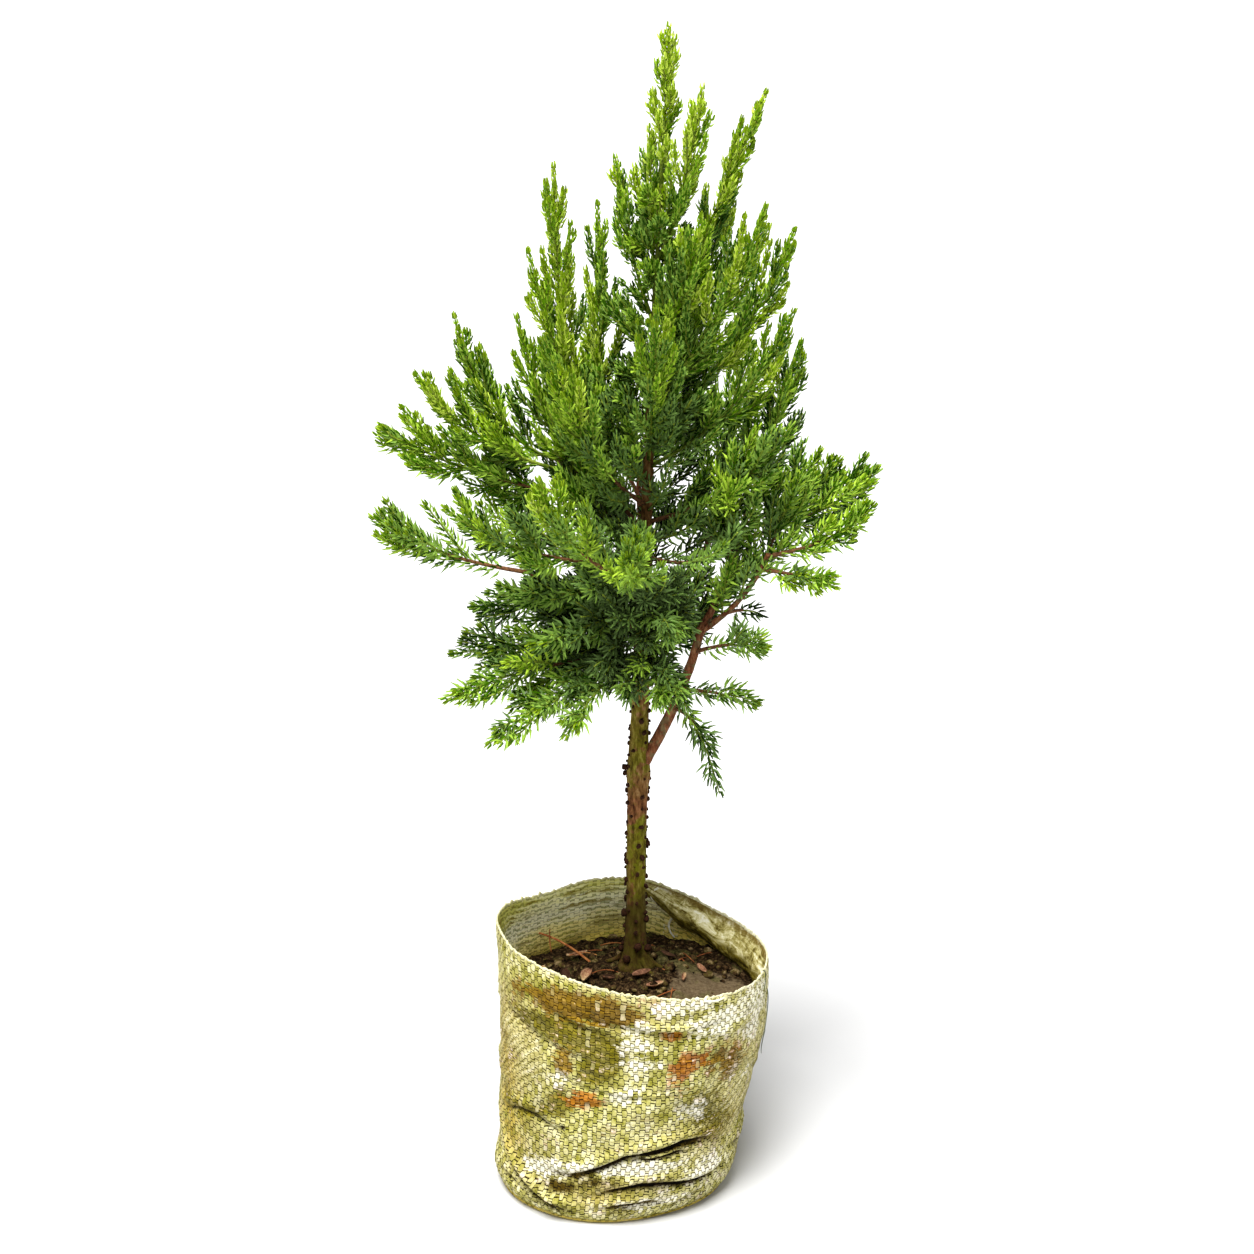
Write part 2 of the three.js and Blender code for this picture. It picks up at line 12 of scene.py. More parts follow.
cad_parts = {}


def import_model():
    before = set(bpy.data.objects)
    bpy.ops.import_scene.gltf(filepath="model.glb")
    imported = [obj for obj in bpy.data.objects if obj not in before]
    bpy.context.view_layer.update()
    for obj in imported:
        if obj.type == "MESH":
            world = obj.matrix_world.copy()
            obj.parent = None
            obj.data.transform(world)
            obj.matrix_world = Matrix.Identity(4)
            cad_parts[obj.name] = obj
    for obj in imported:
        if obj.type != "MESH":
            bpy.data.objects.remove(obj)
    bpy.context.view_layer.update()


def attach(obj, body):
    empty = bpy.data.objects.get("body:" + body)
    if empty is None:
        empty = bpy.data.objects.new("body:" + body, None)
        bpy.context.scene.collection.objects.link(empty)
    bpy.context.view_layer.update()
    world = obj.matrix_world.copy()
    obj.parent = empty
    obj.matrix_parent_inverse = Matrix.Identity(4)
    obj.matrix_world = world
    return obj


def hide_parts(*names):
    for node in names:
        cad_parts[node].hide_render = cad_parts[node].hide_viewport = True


MM = 0.001
BODY = "root"

# The camera, the floor and the light, in metres and degrees.
CAMERA_AT = (0.0087, -2.4, 1.35)
CAMERA_PITCH = 21.45
FOCAL_PIXELS = 3911
IMAGE_PIXELS = 1254
SENSOR_WIDTH = 36
FLOOR_PROFILE = [(25, 0), (45, 0.7), (80, 4.5)]  # radii and heights: its rim turns up behind every view
FLOOR_SIDES = 96
FLOOR_COLOUR = (0.6, 0.6, 0.6, 1)
WORLD_LIGHT = 0.52
KEY_LIGHT = 6.6
KEY_SOFTNESS = 30  # the key light's angular width
KEY_HEADING = (0.16, 0.42, -1.25)

# The bag, as the frame has it: a slack round sack, tucked in at the foot and widest at the mouth.
MOUTH_RADIUS = 93
FOOT_TUCK = 17
TUCK_HEIGHT = 55
FOOT_ROUND = 13
FOOT_ROUND_IN = 8
MOUTH_HEIGHT = 177
MOUTH_DROP = 15
MOUTH_SAG = 7
CORNER_AT = 3.5  # in radians
CORNER_BULGE = 6
CORNER_HEIGHT = 17
HOLLOW_DEPTH = 6
HOLLOW_HEIGHT = 58
LEAN_X = 15
LEAN_HEIGHT = 70
LEAN_Y = 10
CLOTH = 0.9
TAPES_ROUND = 172
TAPES_UP = 52
TAPE_COLUMNS = 2  # points to each tape round the wall
TAPE_ROWS = 3  # and up it
TAPE_RELIEF = 0.32
FRAYED_FROM = 0.985  # the share of the wall above which its rim is frayed
RIPPLE = 1.5
TEAR_DEPTH = 2.5
FLOAT_SHARE = 0.7  # how much of its pair of tapes a pale float covers
SMALL_CREASES = 34
CREASE_DEPTH = 1.35
BURIED = 0.6  # below this share of the wall the inside is out of sight, and keeps clear of the creases
BURIED_INSET = 6.0

# The soil in the bag.
SOIL_EDGE = 134
FOOT_HEIGHT = 147
MOUND_RADIUS = 46
MOUND_FLAT = 0.5  # the share of the mound's radius that is level, under the trunk
SOIL_RINGS = 76
MUD_AT = (66, 4)
MUD_WIDTH = 30
MUD_SMOOTH_WIDTH = 28  # of the stretch without lumps
MUD_LENGTH = 34
SOIL_SIDES = 240
CRUMBS = 520
CRUMB_REACH = 83  # how far from the bag's middle crumbs lie
CRUMB_RADIUS = (0.8, 4.2)
CRUMBS_OFF_MUD = 0.85  # the share of the mud's crumbs that is left out
CRUMBS_CLEAR = 12  # how far from the trunk's foot they keep
ROOT_FIBRES = 22
LEAF_ROWS = 9
LEAF_COLUMNS = 7
LEAF_THICK = 0.4

# The trunk.
FOOT_X = 14.2
FOOT_Y = 29
TRUNK_SWEEP = 1.5
TRUNK_TOP = 700
TOP_X = 35
TOP_HEIGHT = 803
TRUNK_RADIUS = 7
TRUNK_TOP_RADIUS = 1.3
FLARE_RADIUS = 6
FLARE_HEIGHT = 9
COLLAR_HEIGHT = 288
COLLAR_RADIUS = 1.3
COLLAR_SPREAD = 13
THINNING_AT = 300
TRUNK_SIDES = 36
TRUNK_FINE_TOP = 360  # up to here the trunk's rings lie close together
LIMB_SIDES = 20
KNOBS = 130
KNOBS_TOP = 372
KNOB_RADIUS = (0.8, 1.9)

# Each limb: the name, what carries it, where it leaves that (a height on the trunk, or a share of a
# limb's length), then its tip's azimuth, distance from the crown's axis and height, its two radii
# and how far it sags below the straight line.
LIMBS = [
    ("bough_right", "trunk", 292, -10, 36, 395, 4.3, 2.9, 3),
    ("bough_right_upper", "bough_right", 1, -2, 60, 468, 2.7, 1.8, 3),
    ("bough_right_side", "bough_right", 1, -20, 82, 458, 2.2, 1.6, 6),
    ("bough_left", "trunk", 396, -171, 80, 440, 3.0, 1.9, 8),
    ("bough_left_upper", "trunk", 455, 173, 62, 512, 2.8, 1.8, 8),
    ("bough_front", "trunk", 412, -106, 62, 458, 2.8, 1.8, 7),
    ("bough_back", "trunk", 428, 97, 68, 480, 2.8, 1.8, 7),
    ("bough_back_right", "trunk", 404, 46, 62, 446, 2.8, 1.8, 7),
]

# Each mass of needles: the name, what carries it and where, its tip's azimuth, distance and height,
# how far its side shoots spread, how far its stem sags (less than 0 arches over and droops), and how
# many side shoots the frame gives it.
MASSES = [
    ("leader", "trunk", 698, -90, 4, 803, 18, 0, 8),
    ("top_right", "trunk", 648, -40, 29, 767, 24, 9, 6),
    ("top_left", "trunk", 606, 178, 31, 717, 19, 9, 7),
    ("top_back", "trunk", 622, 140, 13, 735, 24, 9, 6),
    ("upper_front", "trunk", 582, -62, 50, 690, 30, 12, 7),
    ("upper_left", "bough_left_upper", 0.38, 140, 54, 677, 35, 13, 8),
    ("upper_back", "trunk", 560, 34, 58, 706, 28, 10, 7),
    ("spire_right", "trunk", 592, 18, 67, 754, 22, -1, 8),
    ("spire_left", "bough_left_upper", 0.75, -172, 71, 714, 28, 10, 8),
    ("shoulder_left", "trunk", 500, -164, 88, 662, 32, 38, 7),
    ("fan_right_front", "trunk", 552, -38, 81, 698, 34, 6, 8),
    ("fan_right", "trunk", 534, 16, 90, 662, 34, 18, 7),
    ("fan_right_low", "trunk", 508, -12, 88, 620, 32, 18, 6),
    ("left_inner", "bough_left_upper", 0.15, 170, 93, 606, 34, 30, 7),
    ("left_front", "trunk", 482, -134, 96, 604, 34, 20, 7),
    ("front_high", "trunk", 512, -92, 84, 640, 34, 16, 7),
    ("right_mid_front", "trunk", 470, -28, 98, 552, 34, 14, 7),
    ("right_mid", "bough_right_upper", 0.98, 6, 94, 590, 34, -1, 7),
    ("right_inner", "bough_right_upper", 0.62, -40, 66, 540, 30, 10, 5),
    ("right_low", "bough_right_upper", 0.88, 14, 153, 494, 32, 12, 6),
    ("right_tip", "bough_right_side", 0.98, -10, 146, 490, 18, 9, 5),
    ("right_low_front", "bough_right_side", 0.84, -31, 138, 452, 13, -3, 5),
    ("right_low_inner", "bough_right_side", 0.55, -4, 98, 528, 30, 9, 7),
    ("right_under", "bough_right_side", 0.3, 6, 76, 402, 22, -4, 4),
    ("right_under_front", "bough_right", 0.86, -34, 94, 402, 18, -8, 4),
    ("twig_right", "bough_right", 0.6, -21, 80, 354, 9, -3, 3),
    ("twig_hanging", "bough_right", 0.46, -36, 64, 291, 9, -32, 3),
    ("left_fan_tall", "bough_left_upper", 0.98, 166, 137, 601, 31, 40, 8),
    ("left_fan", "bough_left_upper", 0.87, -176, 156, 575, 27, 14, 7),
    ("left_wing", "bough_left_upper", 0.6, 177, 179, 533, 34, 8, 7),
    ("left_middle", "bough_left", 0.7, 168, 112, 528, 34, 12, 6),
    ("left_low", "bough_left", 0.98, -167, 185, 488, 34, 6, 7),
    ("left_low_front", "trunk", 440, -150, 153, 507, 34, 14, 7),
    ("under_left_back", "trunk", 402, 163, 122, 396, 32, -8, 7),
    ("under_left", "trunk", 372, -176, 129, 380, 27, -12, 7),
    ("under_left_front", "trunk", 376, -152, 148, 372, 32, -14, 7),
    ("under_front_left", "trunk", 366, -138, 136, 350, 25, -18, 7),
    ("under_front", "trunk", 374, -122, 98, 352, 19, -16, 6),
    ("under_front_right", "trunk", 384, -80, 72, 366, 24, -14, 5),
    ("front_low", "bough_front", 0.98, -94, 136, 500, 35, 8, 7),
    ("front_low_left", "bough_front", 0.86, -122, 138, 540, 35, 14, 7),
    ("front_low_right", "trunk", 446, -66, 112, 492, 34, 8, 6),
    ("back_low", "bough_back", 0.98, 86, 142, 506, 35, 10, 7),
    ("back_low_left", "bough_back", 0.8, 112, 122, 566, 35, 14, 7),
    ("back_right", "bough_back_right", 0.98, 22, 135, 495, 32, 8, 7),
    ("back_right_high", "bough_back_right", 0.84, 60, 118, 580, 35, 14, 7),
    ("back_left", "trunk", 462, 130, 120, 560, 34, 14, 7),
    ("under_back", "trunk", 380, 112, 118, 384, 32, -14, 6),
    ("under_back_right", "trunk", 368, 58, 88, 374, 26, -14, 6),
]

# The rule by which side shoots leave a stem.
GOLDEN_ANGLE = 137.5
FIRST_SHOOT = 0.18
LAST_SHOOT = 0.68
SHOOT_ANGLES = (48, 27)  # from the stem's foot to its tip
SHOOT_LENGTHS = (0.85, 1.1)
SHOOT_BEND = 0.42
SHOOT_RISE = 1.1
SHOOT_LIMIT = 0.9
UPSWEPT = 0.7
ARCHING = 0.55

# The same rule carried on to finer shoots.
TWIGLET_SPACING = (27.0, 11.5)  # along a shoot, low in the crown and high in it
FINE_SPACING = (29.0, 13.0)  # between the finer shoots along a stem
LIMB_SPACING = 8  # between the shoots along a limb
WOODY = 0.45  # the brown share of a mass's stem
WOODY_RADIUS = 0.9  # low in the crown twigs above this radius are brown
SHOOT_RADIUS = 0.85
TWIGLET_RADIUS = 0.6
SHORTEST_SHOOT = 5
INNER_STEMS = 76  # short stems straight from the trunk, all the way up
LEFT_STEMS = 22  # and low on its left
FLAT_RISE = 0.05  # how far the shoots of a stem that doesn't climb turn up
STEEP_CLIMB = 0.6
CROWN_LOW = 430  # from here up to CROWN_HIGH the needles turn from long and loose to short and dense
CROWN_HIGH = 600
# Heights and how far the crown reaches there.
ENVELOPE = ((340, 110), (400, 140), (500, 178), (560, 155), (620, 105), (700, 75), (760, 60), (803, 25))

# Needles.
WHORL_NEEDLES = 3
WHORL_SPACING = (3.0, 2.9)  # low in the crown and high in it
NEEDLE_LENGTH = (11.2, 6.3)  # here and below, low in the crown and high in it
NEEDLE_WIDTH = 1.5
NEEDLE_ANGLE = (62, 36)
NEEDLE_TIP_ANGLE = (34, 17)
NEEDLE_WIDEST = 0.4  # where along it a needle is widest
NEEDLE_BLUNT = 0.62  # the width of its blunt end, as a share
NEEDLE_DEPTH = 0.8  # how far the back bulges outwards, as a share of the width
TUFT_LENGTH = 4.8
TUFT_NEEDLES = 4
TUFT_FROM = 0.62  # how far out in the crown the shoots end in a tuft

# Where each stream of random numbers starts.
FRAY_SEED = 11
CREASE_SEED = 31
CRUMB_SEED = 77
FIBRE_SEED = 9
KNOB_SEED = 5
STUB_SEED = 8
CROWN_SEED = 21
LIMB_SEED = 700
INNER_SEED = 900
LEFT_SEED = 990
FINE_SEED = 101
TWIGLET_SEED = 5003
NEEDLE_SEED = 300
TUFT_SEED = 400
SEED_STEP = 40  # between the seeds of two masses
INNER_SHOOT_SEED = 9000
INNER_SEED_STEP = 20

UP = Vector((0, 0, 1))


# Small helpers


def mix(a, b, t):
    return a + (b - a) * t


def smooth(low, high, value):
    t = np.clip((value - low) / (high - low), 0, 1)
    return t * t * (3 - 2 * t)


def seeded(seed):
    """A repeatable random number from 0 to 1, the same sequence as the frame's own rule."""
    state = seed & 0xFFFFFFFF

    def draw():
        nonlocal state
        state = (state + 0x6D2B79F5) & 0xFFFFFFFF
        t = state
        t = ((t ^ (t >> 15)) * (t | 1)) & 0xFFFFFFFF
        t ^= (t + (t ^ (t >> 7)) * (t | 61)) & 0xFFFFFFFF
        return ((t ^ (t >> 14)) & 0xFFFFFFFF) / 4294967296

    return draw


def around(count):
    """Angles all the way round, from the left."""
    return np.arange(count) / count * 2 * math.pi - math.pi


def outwards(turn, rise=0.0):
    return Vector((math.cos(turn), math.sin(turn), rise))


def apart(degrees, at):
    """The angle from one azimuth to another, from -180 to 180."""
    return (degrees - at + 180) % 360 - 180


def bell(value, middle, half):
    return np.exp(-(((value - middle) / half) ** 2))


def srgb(red, green, blue):
    """A colour given as it looks on a screen, from 0 to 255, as the shader takes it."""
    parts = [c / 255 for c in (red, green, blue)]
    linear = [c / 12.92 if c <= 0.04045 else ((c + 0.055) / 1.055) ** 2.4 for c in parts]
    return (*linear, 1.0)


class Curve:
    """A quadratic curve from root to tip."""

    def __init__(self, root, middle, tip):
        self.root, self.middle, self.tip = root, middle, tip

    def point(self, t):
        return self.root * (1 - t) ** 2 + self.middle * (2 * t * (1 - t)) + self.tip * t**2

    def tangent(self, t):
        along = (self.middle - self.root) * (1 - t) + (self.tip - self.middle) * t
        return along.normalized()

    def part(self, start, end):
        """The stretch of the curve between two shares of it."""
        both = start * end
        from_root = self.root * (1 - start - end + both)
        middle = from_root + self.middle * (start + end - 2 * both) + self.tip * both
        return Curve(self.point(start), middle, self.point(end))

    def length(self, steps=40):
        points = [self.point(i / steps) for i in range(steps + 1)]
        return sum((b - a).length for a, b in pairwise(points))

    def across(self, t):
        """Two directions square to the curve at t, the first square to its whole plane."""
        chord = self.tip - self.root
        u = (self.middle - self.root).cross(chord)
        if u.length < 1:
            u = chord.cross(Vector((1, 0.3, 0)))
        u.normalize()
        return u, self.tangent(t).cross(u).normalized()


# Meshes


def linked(name, data):
    made = bpy.data.objects.new(name, data)
    bpy.context.scene.collection.objects.link(made)
    return made


def mesh_piece(name, points, faces, materials, slot, shade_smooth=True):
    """A mesh object that rides on the plant's body, from points in millimetres."""
    mesh = bpy.data.meshes.new(name)
    mesh.from_pydata((np.asarray(points, float) * MM).tolist(), [], faces)
    for material in materials:
        mesh.materials.append(material)
    mesh.polygons.foreach_set("use_smooth", [shade_smooth] * len(mesh.polygons))
    made = linked(name, mesh)
    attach(made, BODY)
    return made


def ring_faces(rings, sides):
    """The quads between rings of points that lie one after another in a mesh."""
    ring = sides * np.arange(rings - 1)[:, None]
    here = np.arange(sides)[None, :]
    after = (here + 1) % sides
    quads = np.stack([ring + here, ring + after, ring + sides + after, ring + sides + here], -1)
    return quads.reshape(-1, 4).tolist()


def tube_faces(rings, sides):
    """The faces of a tube with a cap at each end."""
    last = (rings - 1) * sides
    return ring_faces(rings, sides) + [list(range(sides))[::-1], list(range(last, last + sides))]


def pointed_faces(rings, sides):
    """The faces of a tube with a cap at its foot and a fan to the one point after its rings."""
    last = (rings - 1) * sides
    fan = [[last + i, last + (i + 1) % sides, last + sides] for i in range(sides)]
    return [*ring_faces(rings, sides), list(range(sides))[::-1], *fan]


def sheet_faces(rows, columns):
    """The faces of a thin closed sheet: those of its top, of its underside and round its rim."""
    under = rows * columns
    top = np.arange(under).reshape(rows, columns)
    a, b, c, d = top[:-1, :-1], top[:-1, 1:], top[1:, 1:], top[1:, :-1]
    sides = np.stack([[a, d, c, b], [a + under, b + under, c + under, d + under]])
    rim = np.concatenate([top[0], top[1:, -1], top[-1, -2::-1], top[-2:0:-1, 0]])
    after = np.roll(rim, -1)
    strip = np.stack([rim, after, after + under, rim + under], -1)
    return np.moveaxis(sides, 1, -1).reshape(-1, 4).tolist() + strip.tolist()


def turned(faces):
    """The same faces seen from their other side, each from the same first corner."""
    return [face[:1] + face[:0:-1] for face in faces]


def point_values(made, name, values):
    attribute = made.data.attributes.new(name, "FLOAT", "POINT")
    attribute.data.foreach_set("value", np.asarray(values, np.float32))


def joined(parts):
    """The points and faces of several small meshes as one."""
    points, faces, start = [], [], 0
    for own_points, own_faces in parts:
        points.append(np.asarray(own_points, float))
        faces += [[start + i for i in face] for face in own_faces]
        start += len(own_points)
    return np.concatenate(points), faces


# Tubes along curves


class Twig:
    """A curve with its radii at both ends, the share of it that bears no needles, and its tone."""

    def __init__(self, curve, radius, tip_radius, bare=0.0, tone=0.0):
        self.curve, self.radius, self.tip_radius = curve, radius, tip_radius
        self.bare, self.tone = bare, tone
        self.high = crown_height(curve.point(0.7).z)


def curve_arrays(twigs):
    """The roots, the middles and the tips of many twigs."""
    ends = np.array([(twig.curve.root, twig.curve.middle, twig.curve.tip) for twig in twigs])
    return ends.swapaxes(0, 1)


def unit(vectors):
    return vectors / np.maximum(1e-9, np.linalg.norm(vectors, axis=-1, keepdims=True))


def frames_along(ends, t):
    """Points, tangents and two cross directions at shares t of many curves."""
    roots, middles, tips = ends
    t = t[:, None]
    points = roots * (1 - t) ** 2 + middles * (2 * t * (1 - t)) + tips * t**2
    along = unit((middles - roots) * (1 - t) + (tips - middles) * t)
    plane = np.cross(middles - roots, tips - roots)
    spare = np.cross(tips - roots, np.array([1, 0.3, 0]))
    plane = np.where(np.linalg.norm(plane, axis=-1, keepdims=True) < 1e-3, spare, plane)
    u = unit(plane - along * (plane * along).sum(-1, keepdims=True))
    return points, along, u, np.cross(along, u)


def twig_tubes(twigs, sides, steps):
    """Closed tapering tubes along many curves, each ending in a point."""
    ends = curve_arrays(twigs)
    wide = np.array([twig.radius for twig in twigs])
    narrow = np.array([twig.tip_radius for twig in twigs])
    count = len(twigs)
    per_twig = sides * (steps + 1) + 1
    points = np.zeros((count, per_twig, 3))
    for step in range(steps + 1):
        t = np.full(count, step / steps)
        centre, _, u, v = frames_along(ends, t)
        radius = mix(wide, narrow, t)[:, None]
        for side in range(sides):
            turn = side / sides * 2 * math.pi
            points[:, step * sides + side] = centre + (u * math.cos(turn) + v * math.sin(turn)) * radius
    points[:, -1] = ends[2] + unit(ends[2] - ends[1]) * narrow[:, None]
    own = pointed_faces(steps + 1, sides)
    faces = [[first + i for i in face] for first in range(0, count * per_twig, per_twig) for face in own]
    return points.reshape(-1, 3), faces


# Materials


class Paint:
    """A material whose nodes are built by short calls. Each call returns a socket."""

    def __init__(self, name, roughness=0.6, specular=0.3):
        self.material = bpy.data.materials.new(name)
        self.material.use_nodes = True
        self.tree = self.material.node_tree
        self.shader = self.tree.nodes["Principled BSDF"]
        self.shader.inputs["Roughness"].default_value = roughness
        self.shader.inputs["Specular IOR Level"].default_value = specular

    def node(self, kind, settings=None, **inputs):
        made = self.tree.nodes.new(kind)
        for key, value in (settings or {}).items():
            setattr(made, key, value)
        for key, value in inputs.items():
            self.feed(made.inputs[key.replace("_", " ")], value)
        return made

    def feed(self, socket, value):
        """Sets or links a socket. Three numbers are a colour as it looks on a screen."""
        if isinstance(value, bpy.types.NodeSocket):
            self.tree.links.new(value, socket)
        elif isinstance(value, tuple) and len(value) == 3:
            socket.default_value = srgb(*value)
        else:
            socket.default_value = value

    def math(self, operation, a, b=0.0, c=0.0):
        made = self.node("ShaderNodeMath", {"operation": operation})
        for socket, value in zip(made.inputs, (a, b, c)):
            self.feed(socket, value)
        return made.outputs[0]

    def times(self, a, b):
        return self.math("MULTIPLY", a, b)

    def line(self, value, slope, start):
        return self.math("MULTIPLY_ADD", value, slope, start)

    def most(self, a, b):
        return self.math("MAXIMUM", a, b)

    def rest(self, value):
        """What is left of 1."""
        return self.math("SUBTRACT", 1.0, value)

    def axis(self, vector, number):
        return self.node("ShaderNodeSeparateXYZ", Vector=vector).outputs[number]

    def pair(self, x, y):
        return self.node("ShaderNodeCombineXYZ", X=x, Y=y).outputs[0]

    def place(self):
        return self.node("ShaderNodeTexCoord").outputs["Object"]

    def stretched(self, vector, scale, turn=0.0):
        """The place turned about Z by an angle in degrees, then scaled."""
        if turn:
            turned = self.node("ShaderNodeMapping", Vector=vector)
            turned.inputs["Rotation"].default_value = (0, 0, math.radians(turn))
            vector = turned.outputs[0]
        made = self.node("ShaderNodeMapping", Vector=vector)
        made.inputs["Scale"].default_value = scale
        return made.outputs[0]

    def sum(self, *shares):
        """The sum of values, each a pair: the value and how much of it is taken."""
        total = 0.0
        for value, much in shares:
            total = self.line(value, much, total)
        return total

    def noise(self, vector, scale, detail=3.0, roughness=0.6, distortion=0.0):
        made = self.node("ShaderNodeTexNoise", Vector=vector, Scale=scale, Detail=detail)
        made.inputs["Roughness"].default_value = roughness
        made.inputs["Distortion"].default_value = distortion
        return made.outputs["Fac"]

    def cell(self, vector):
        flat = {"noise_dimensions": "2D"}
        return self.node("ShaderNodeTexWhiteNoise", flat, Vector=vector).outputs["Value"]

    def step(self, value, low, high):
        """0 below low, 1 above high and smooth between them."""
        made = self.node("ShaderNodeMapRange", {"interpolation_type": "SMOOTHSTEP"}, Value=value)
        made.inputs["From Min"].default_value = low
        made.inputs["From Max"].default_value = high
        return made.outputs[0]

    def blend(self, factor, a, b, kind="MIX"):
        made = self.tree.nodes.new("ShaderNodeMix")
        made.data_type = "RGBA"
        made.blend_type = kind
        self.feed(made.inputs["Factor"], factor)
        self.feed(made.inputs[6], a)
        self.feed(made.inputs[7], b)
        return made.outputs[2]

    def ramp(self, value, *stops):
        """A colour for each value. A stop is a position and a colour's three numbers."""
        made = self.node("ShaderNodeValToRGB", Fac=value)
        elements = made.color_ramp.elements
        while len(elements) < len(stops):
            elements.new(0.5)
        for element, (position, *colour) in zip(elements, stops):
            element.position = position
            element.color = srgb(*colour)
        return made.outputs["Color"]

    def values(self, name):
        return self.node("ShaderNodeAttribute", {"attribute_name": name}).outputs["Fac"]

    def bump(self, height, distance, strength=1.0):
        made = self.node("ShaderNodeBump", Height=height)
        made.inputs["Distance"].default_value = distance
        made.inputs["Strength"].default_value = strength
        self.tree.links.new(made.outputs[0], self.shader.inputs["Normal"])

    def finish(self, colour):
        self.feed(self.shader.inputs["Base Color"], colour)
        return self.material


# The bag


def bag_centre(z):
    """The middle of the sack at a height: it leans to the right and back."""
    return LEAN_X * (1 - np.exp(-z / LEAN_HEIGHT)), LEAN_Y * z / MOUTH_HEIGHT


def slack(angle, z):
    """How far the wall is out of round, as a share of its radius."""
    high = z / MOUTH_HEIGHT
    return (
        0.012 * np.cos(2 * angle - 1.2)
        + 0.01 * np.cos(3 * angle + 0.6 + 1.5 * high)
        + 0.009 * (1 - high) * np.cos(5 * angle + 2.2 - 3 * high)
        + 0.012 * np.sin(9 * high + 1.4 * np.cos(angle - 0.8)) * (1 - 0.6 * high)
    )


def bulge(angle, z):
    """A corner that bulges low at the left and a hollow at the right."""
    corner = np.maximum(0, np.cos(angle - CORNER_AT)) ** 2
    hollow = np.maximum(0, np.cos(angle)) ** 2
    out = CORNER_BULGE * corner * bell(z / CORNER_HEIGHT, 0.7, 1)
    return out - HOLLOW_DEPTH * hollow * np.exp(-((z / HOLLOW_HEIGHT - 1) ** 2) * 3)


def mouth_height(angle):
    sag = np.where(np.sin(angle) > 0, np.sin(2 * angle) ** 2, 0)
    return MOUTH_HEIGHT - MOUTH_DROP * np.cos(angle) - sag * MOUTH_SAG * (1 - 0.4 * np.cos(angle))


def bag_points(angle, z, out):
    """Points on the bag's wall, moved outwards by out."""
    angle, z, out = np.broadcast_arrays(angle, np.asarray(z, float), out)
    x, y = bag_centre(z)
    radius = (MOUTH_RADIUS - FOOT_TUCK * np.exp(-z / TUCK_HEIGHT)) * (1 + slack(angle, z))
    foot = np.clip(1 - z / FOOT_ROUND, 0, 1)
    radius = radius - FOOT_ROUND_IN * (1 - np.sqrt(1 - foot**2)) + bulge(angle, z) + out
    return np.stack([x + radius * np.cos(angle), y + radius * np.sin(angle), z], -1)


# Each crease: its depth, its width and its points, as azimuths and heights on the wall.
CREASES = [
    (1.7, 2.2, [(-166, 64), (-158, 66.5), (-146, 75), (-134, 76.5), (-122, 70), (-114, 60)]),
    (3.2, 2.4, [(-128, 37), (-114, 38), (-102, 46), (-90, 56), (-78, 58.5), (-64, 62), (-48, 58),
                (-32, 49.5)]),
    (2.2, 1.8, [(-92, 57), (-80, 53), (-66, 55), (-54, 52)]),
    (2.8, 2.2, [(-108, 22), (-96, 29), (-82, 33), (-70, 31), (-56, 27), (-40, 26), (-26, 30)]),
    (3.6, 2.2, [(-170, 52), (-160, 40), (-148, 29), (-134, 19), (-120, 11), (-108, 8)]),
    (2.6, 1.9, [(-158, 36), (-142, 25.5), (-128, 13.5), (-116, 5)]),
    (1.8, 1.8, [(-124, 163), (-112, 158.5), (-98, 154), (-84, 150), (-70, 145), (-56, 138), (-38, 130.5)]),
    (1.6, 1.7, [(-134, 162), (-116, 151.5), (-100, 147)]),
    (1.6, 1.6, [(-92, 150), (-78, 147), (-64, 147), (-48, 148)]),
    (1.2, 1.1, [(-122, 108), (-108, 105.5), (-96, 102.5), (-84, 99.5), (-66, 100)]),
    (1.5, 2.2, [(-172, 152), (-158, 146), (-142, 139.5), (-122, 130), (-110, 126)]),
    (1.8, 1.8, [(-106, 12), (-90, 17), (-76, 18), (-62, 13)]),
    (1.5, 2.2, [(-60, 126), (-44, 120), (-30, 110), (-16, 94), (-4, 76)]),
    (2.0, 2.2, [(-34, 42), (-14, 36), (10, 38), (30, 30)]),
    (1.6, 2.4, [(20, 120), (44, 104), (70, 110)]),
    (2.4, 2.6, [(50, 44), (80, 58), (112, 52), (140, 60)]),
    (1.8, 2.2, [(88, 24), (120, 30), (150, 22)]),
    (1.5, 2.4, [(96, 136), (128, 122), (158, 132), (178, 126)]),
    (1.5, 2.4, [(150, 92), (172, 84), (190, 92)]),
]


def small_creases():
    """Short shallow creases all over the wall, closer together low down."""
    rng = np.random.default_rng(CREASE_SEED)
    found = []
    for k in range(SMALL_CREASES):
        azimuth, height = (k * GOLDEN_ANGLE) % 360 - 180, mix(10, 150, rng.uniform(0, 1) ** 1.3)
        wide, tall = rng.uniform(6, 16), rng.uniform(-12, 12)
        points = [(azimuth - wide, height - tall / 2), (azimuth, height + rng.uniform(-3, 3))]
        points.append((azimuth + wide, height + tall / 2))
        found.append((rng.uniform(0.5, 1.2), rng.uniform(1.3, 2.2), points))
    return found


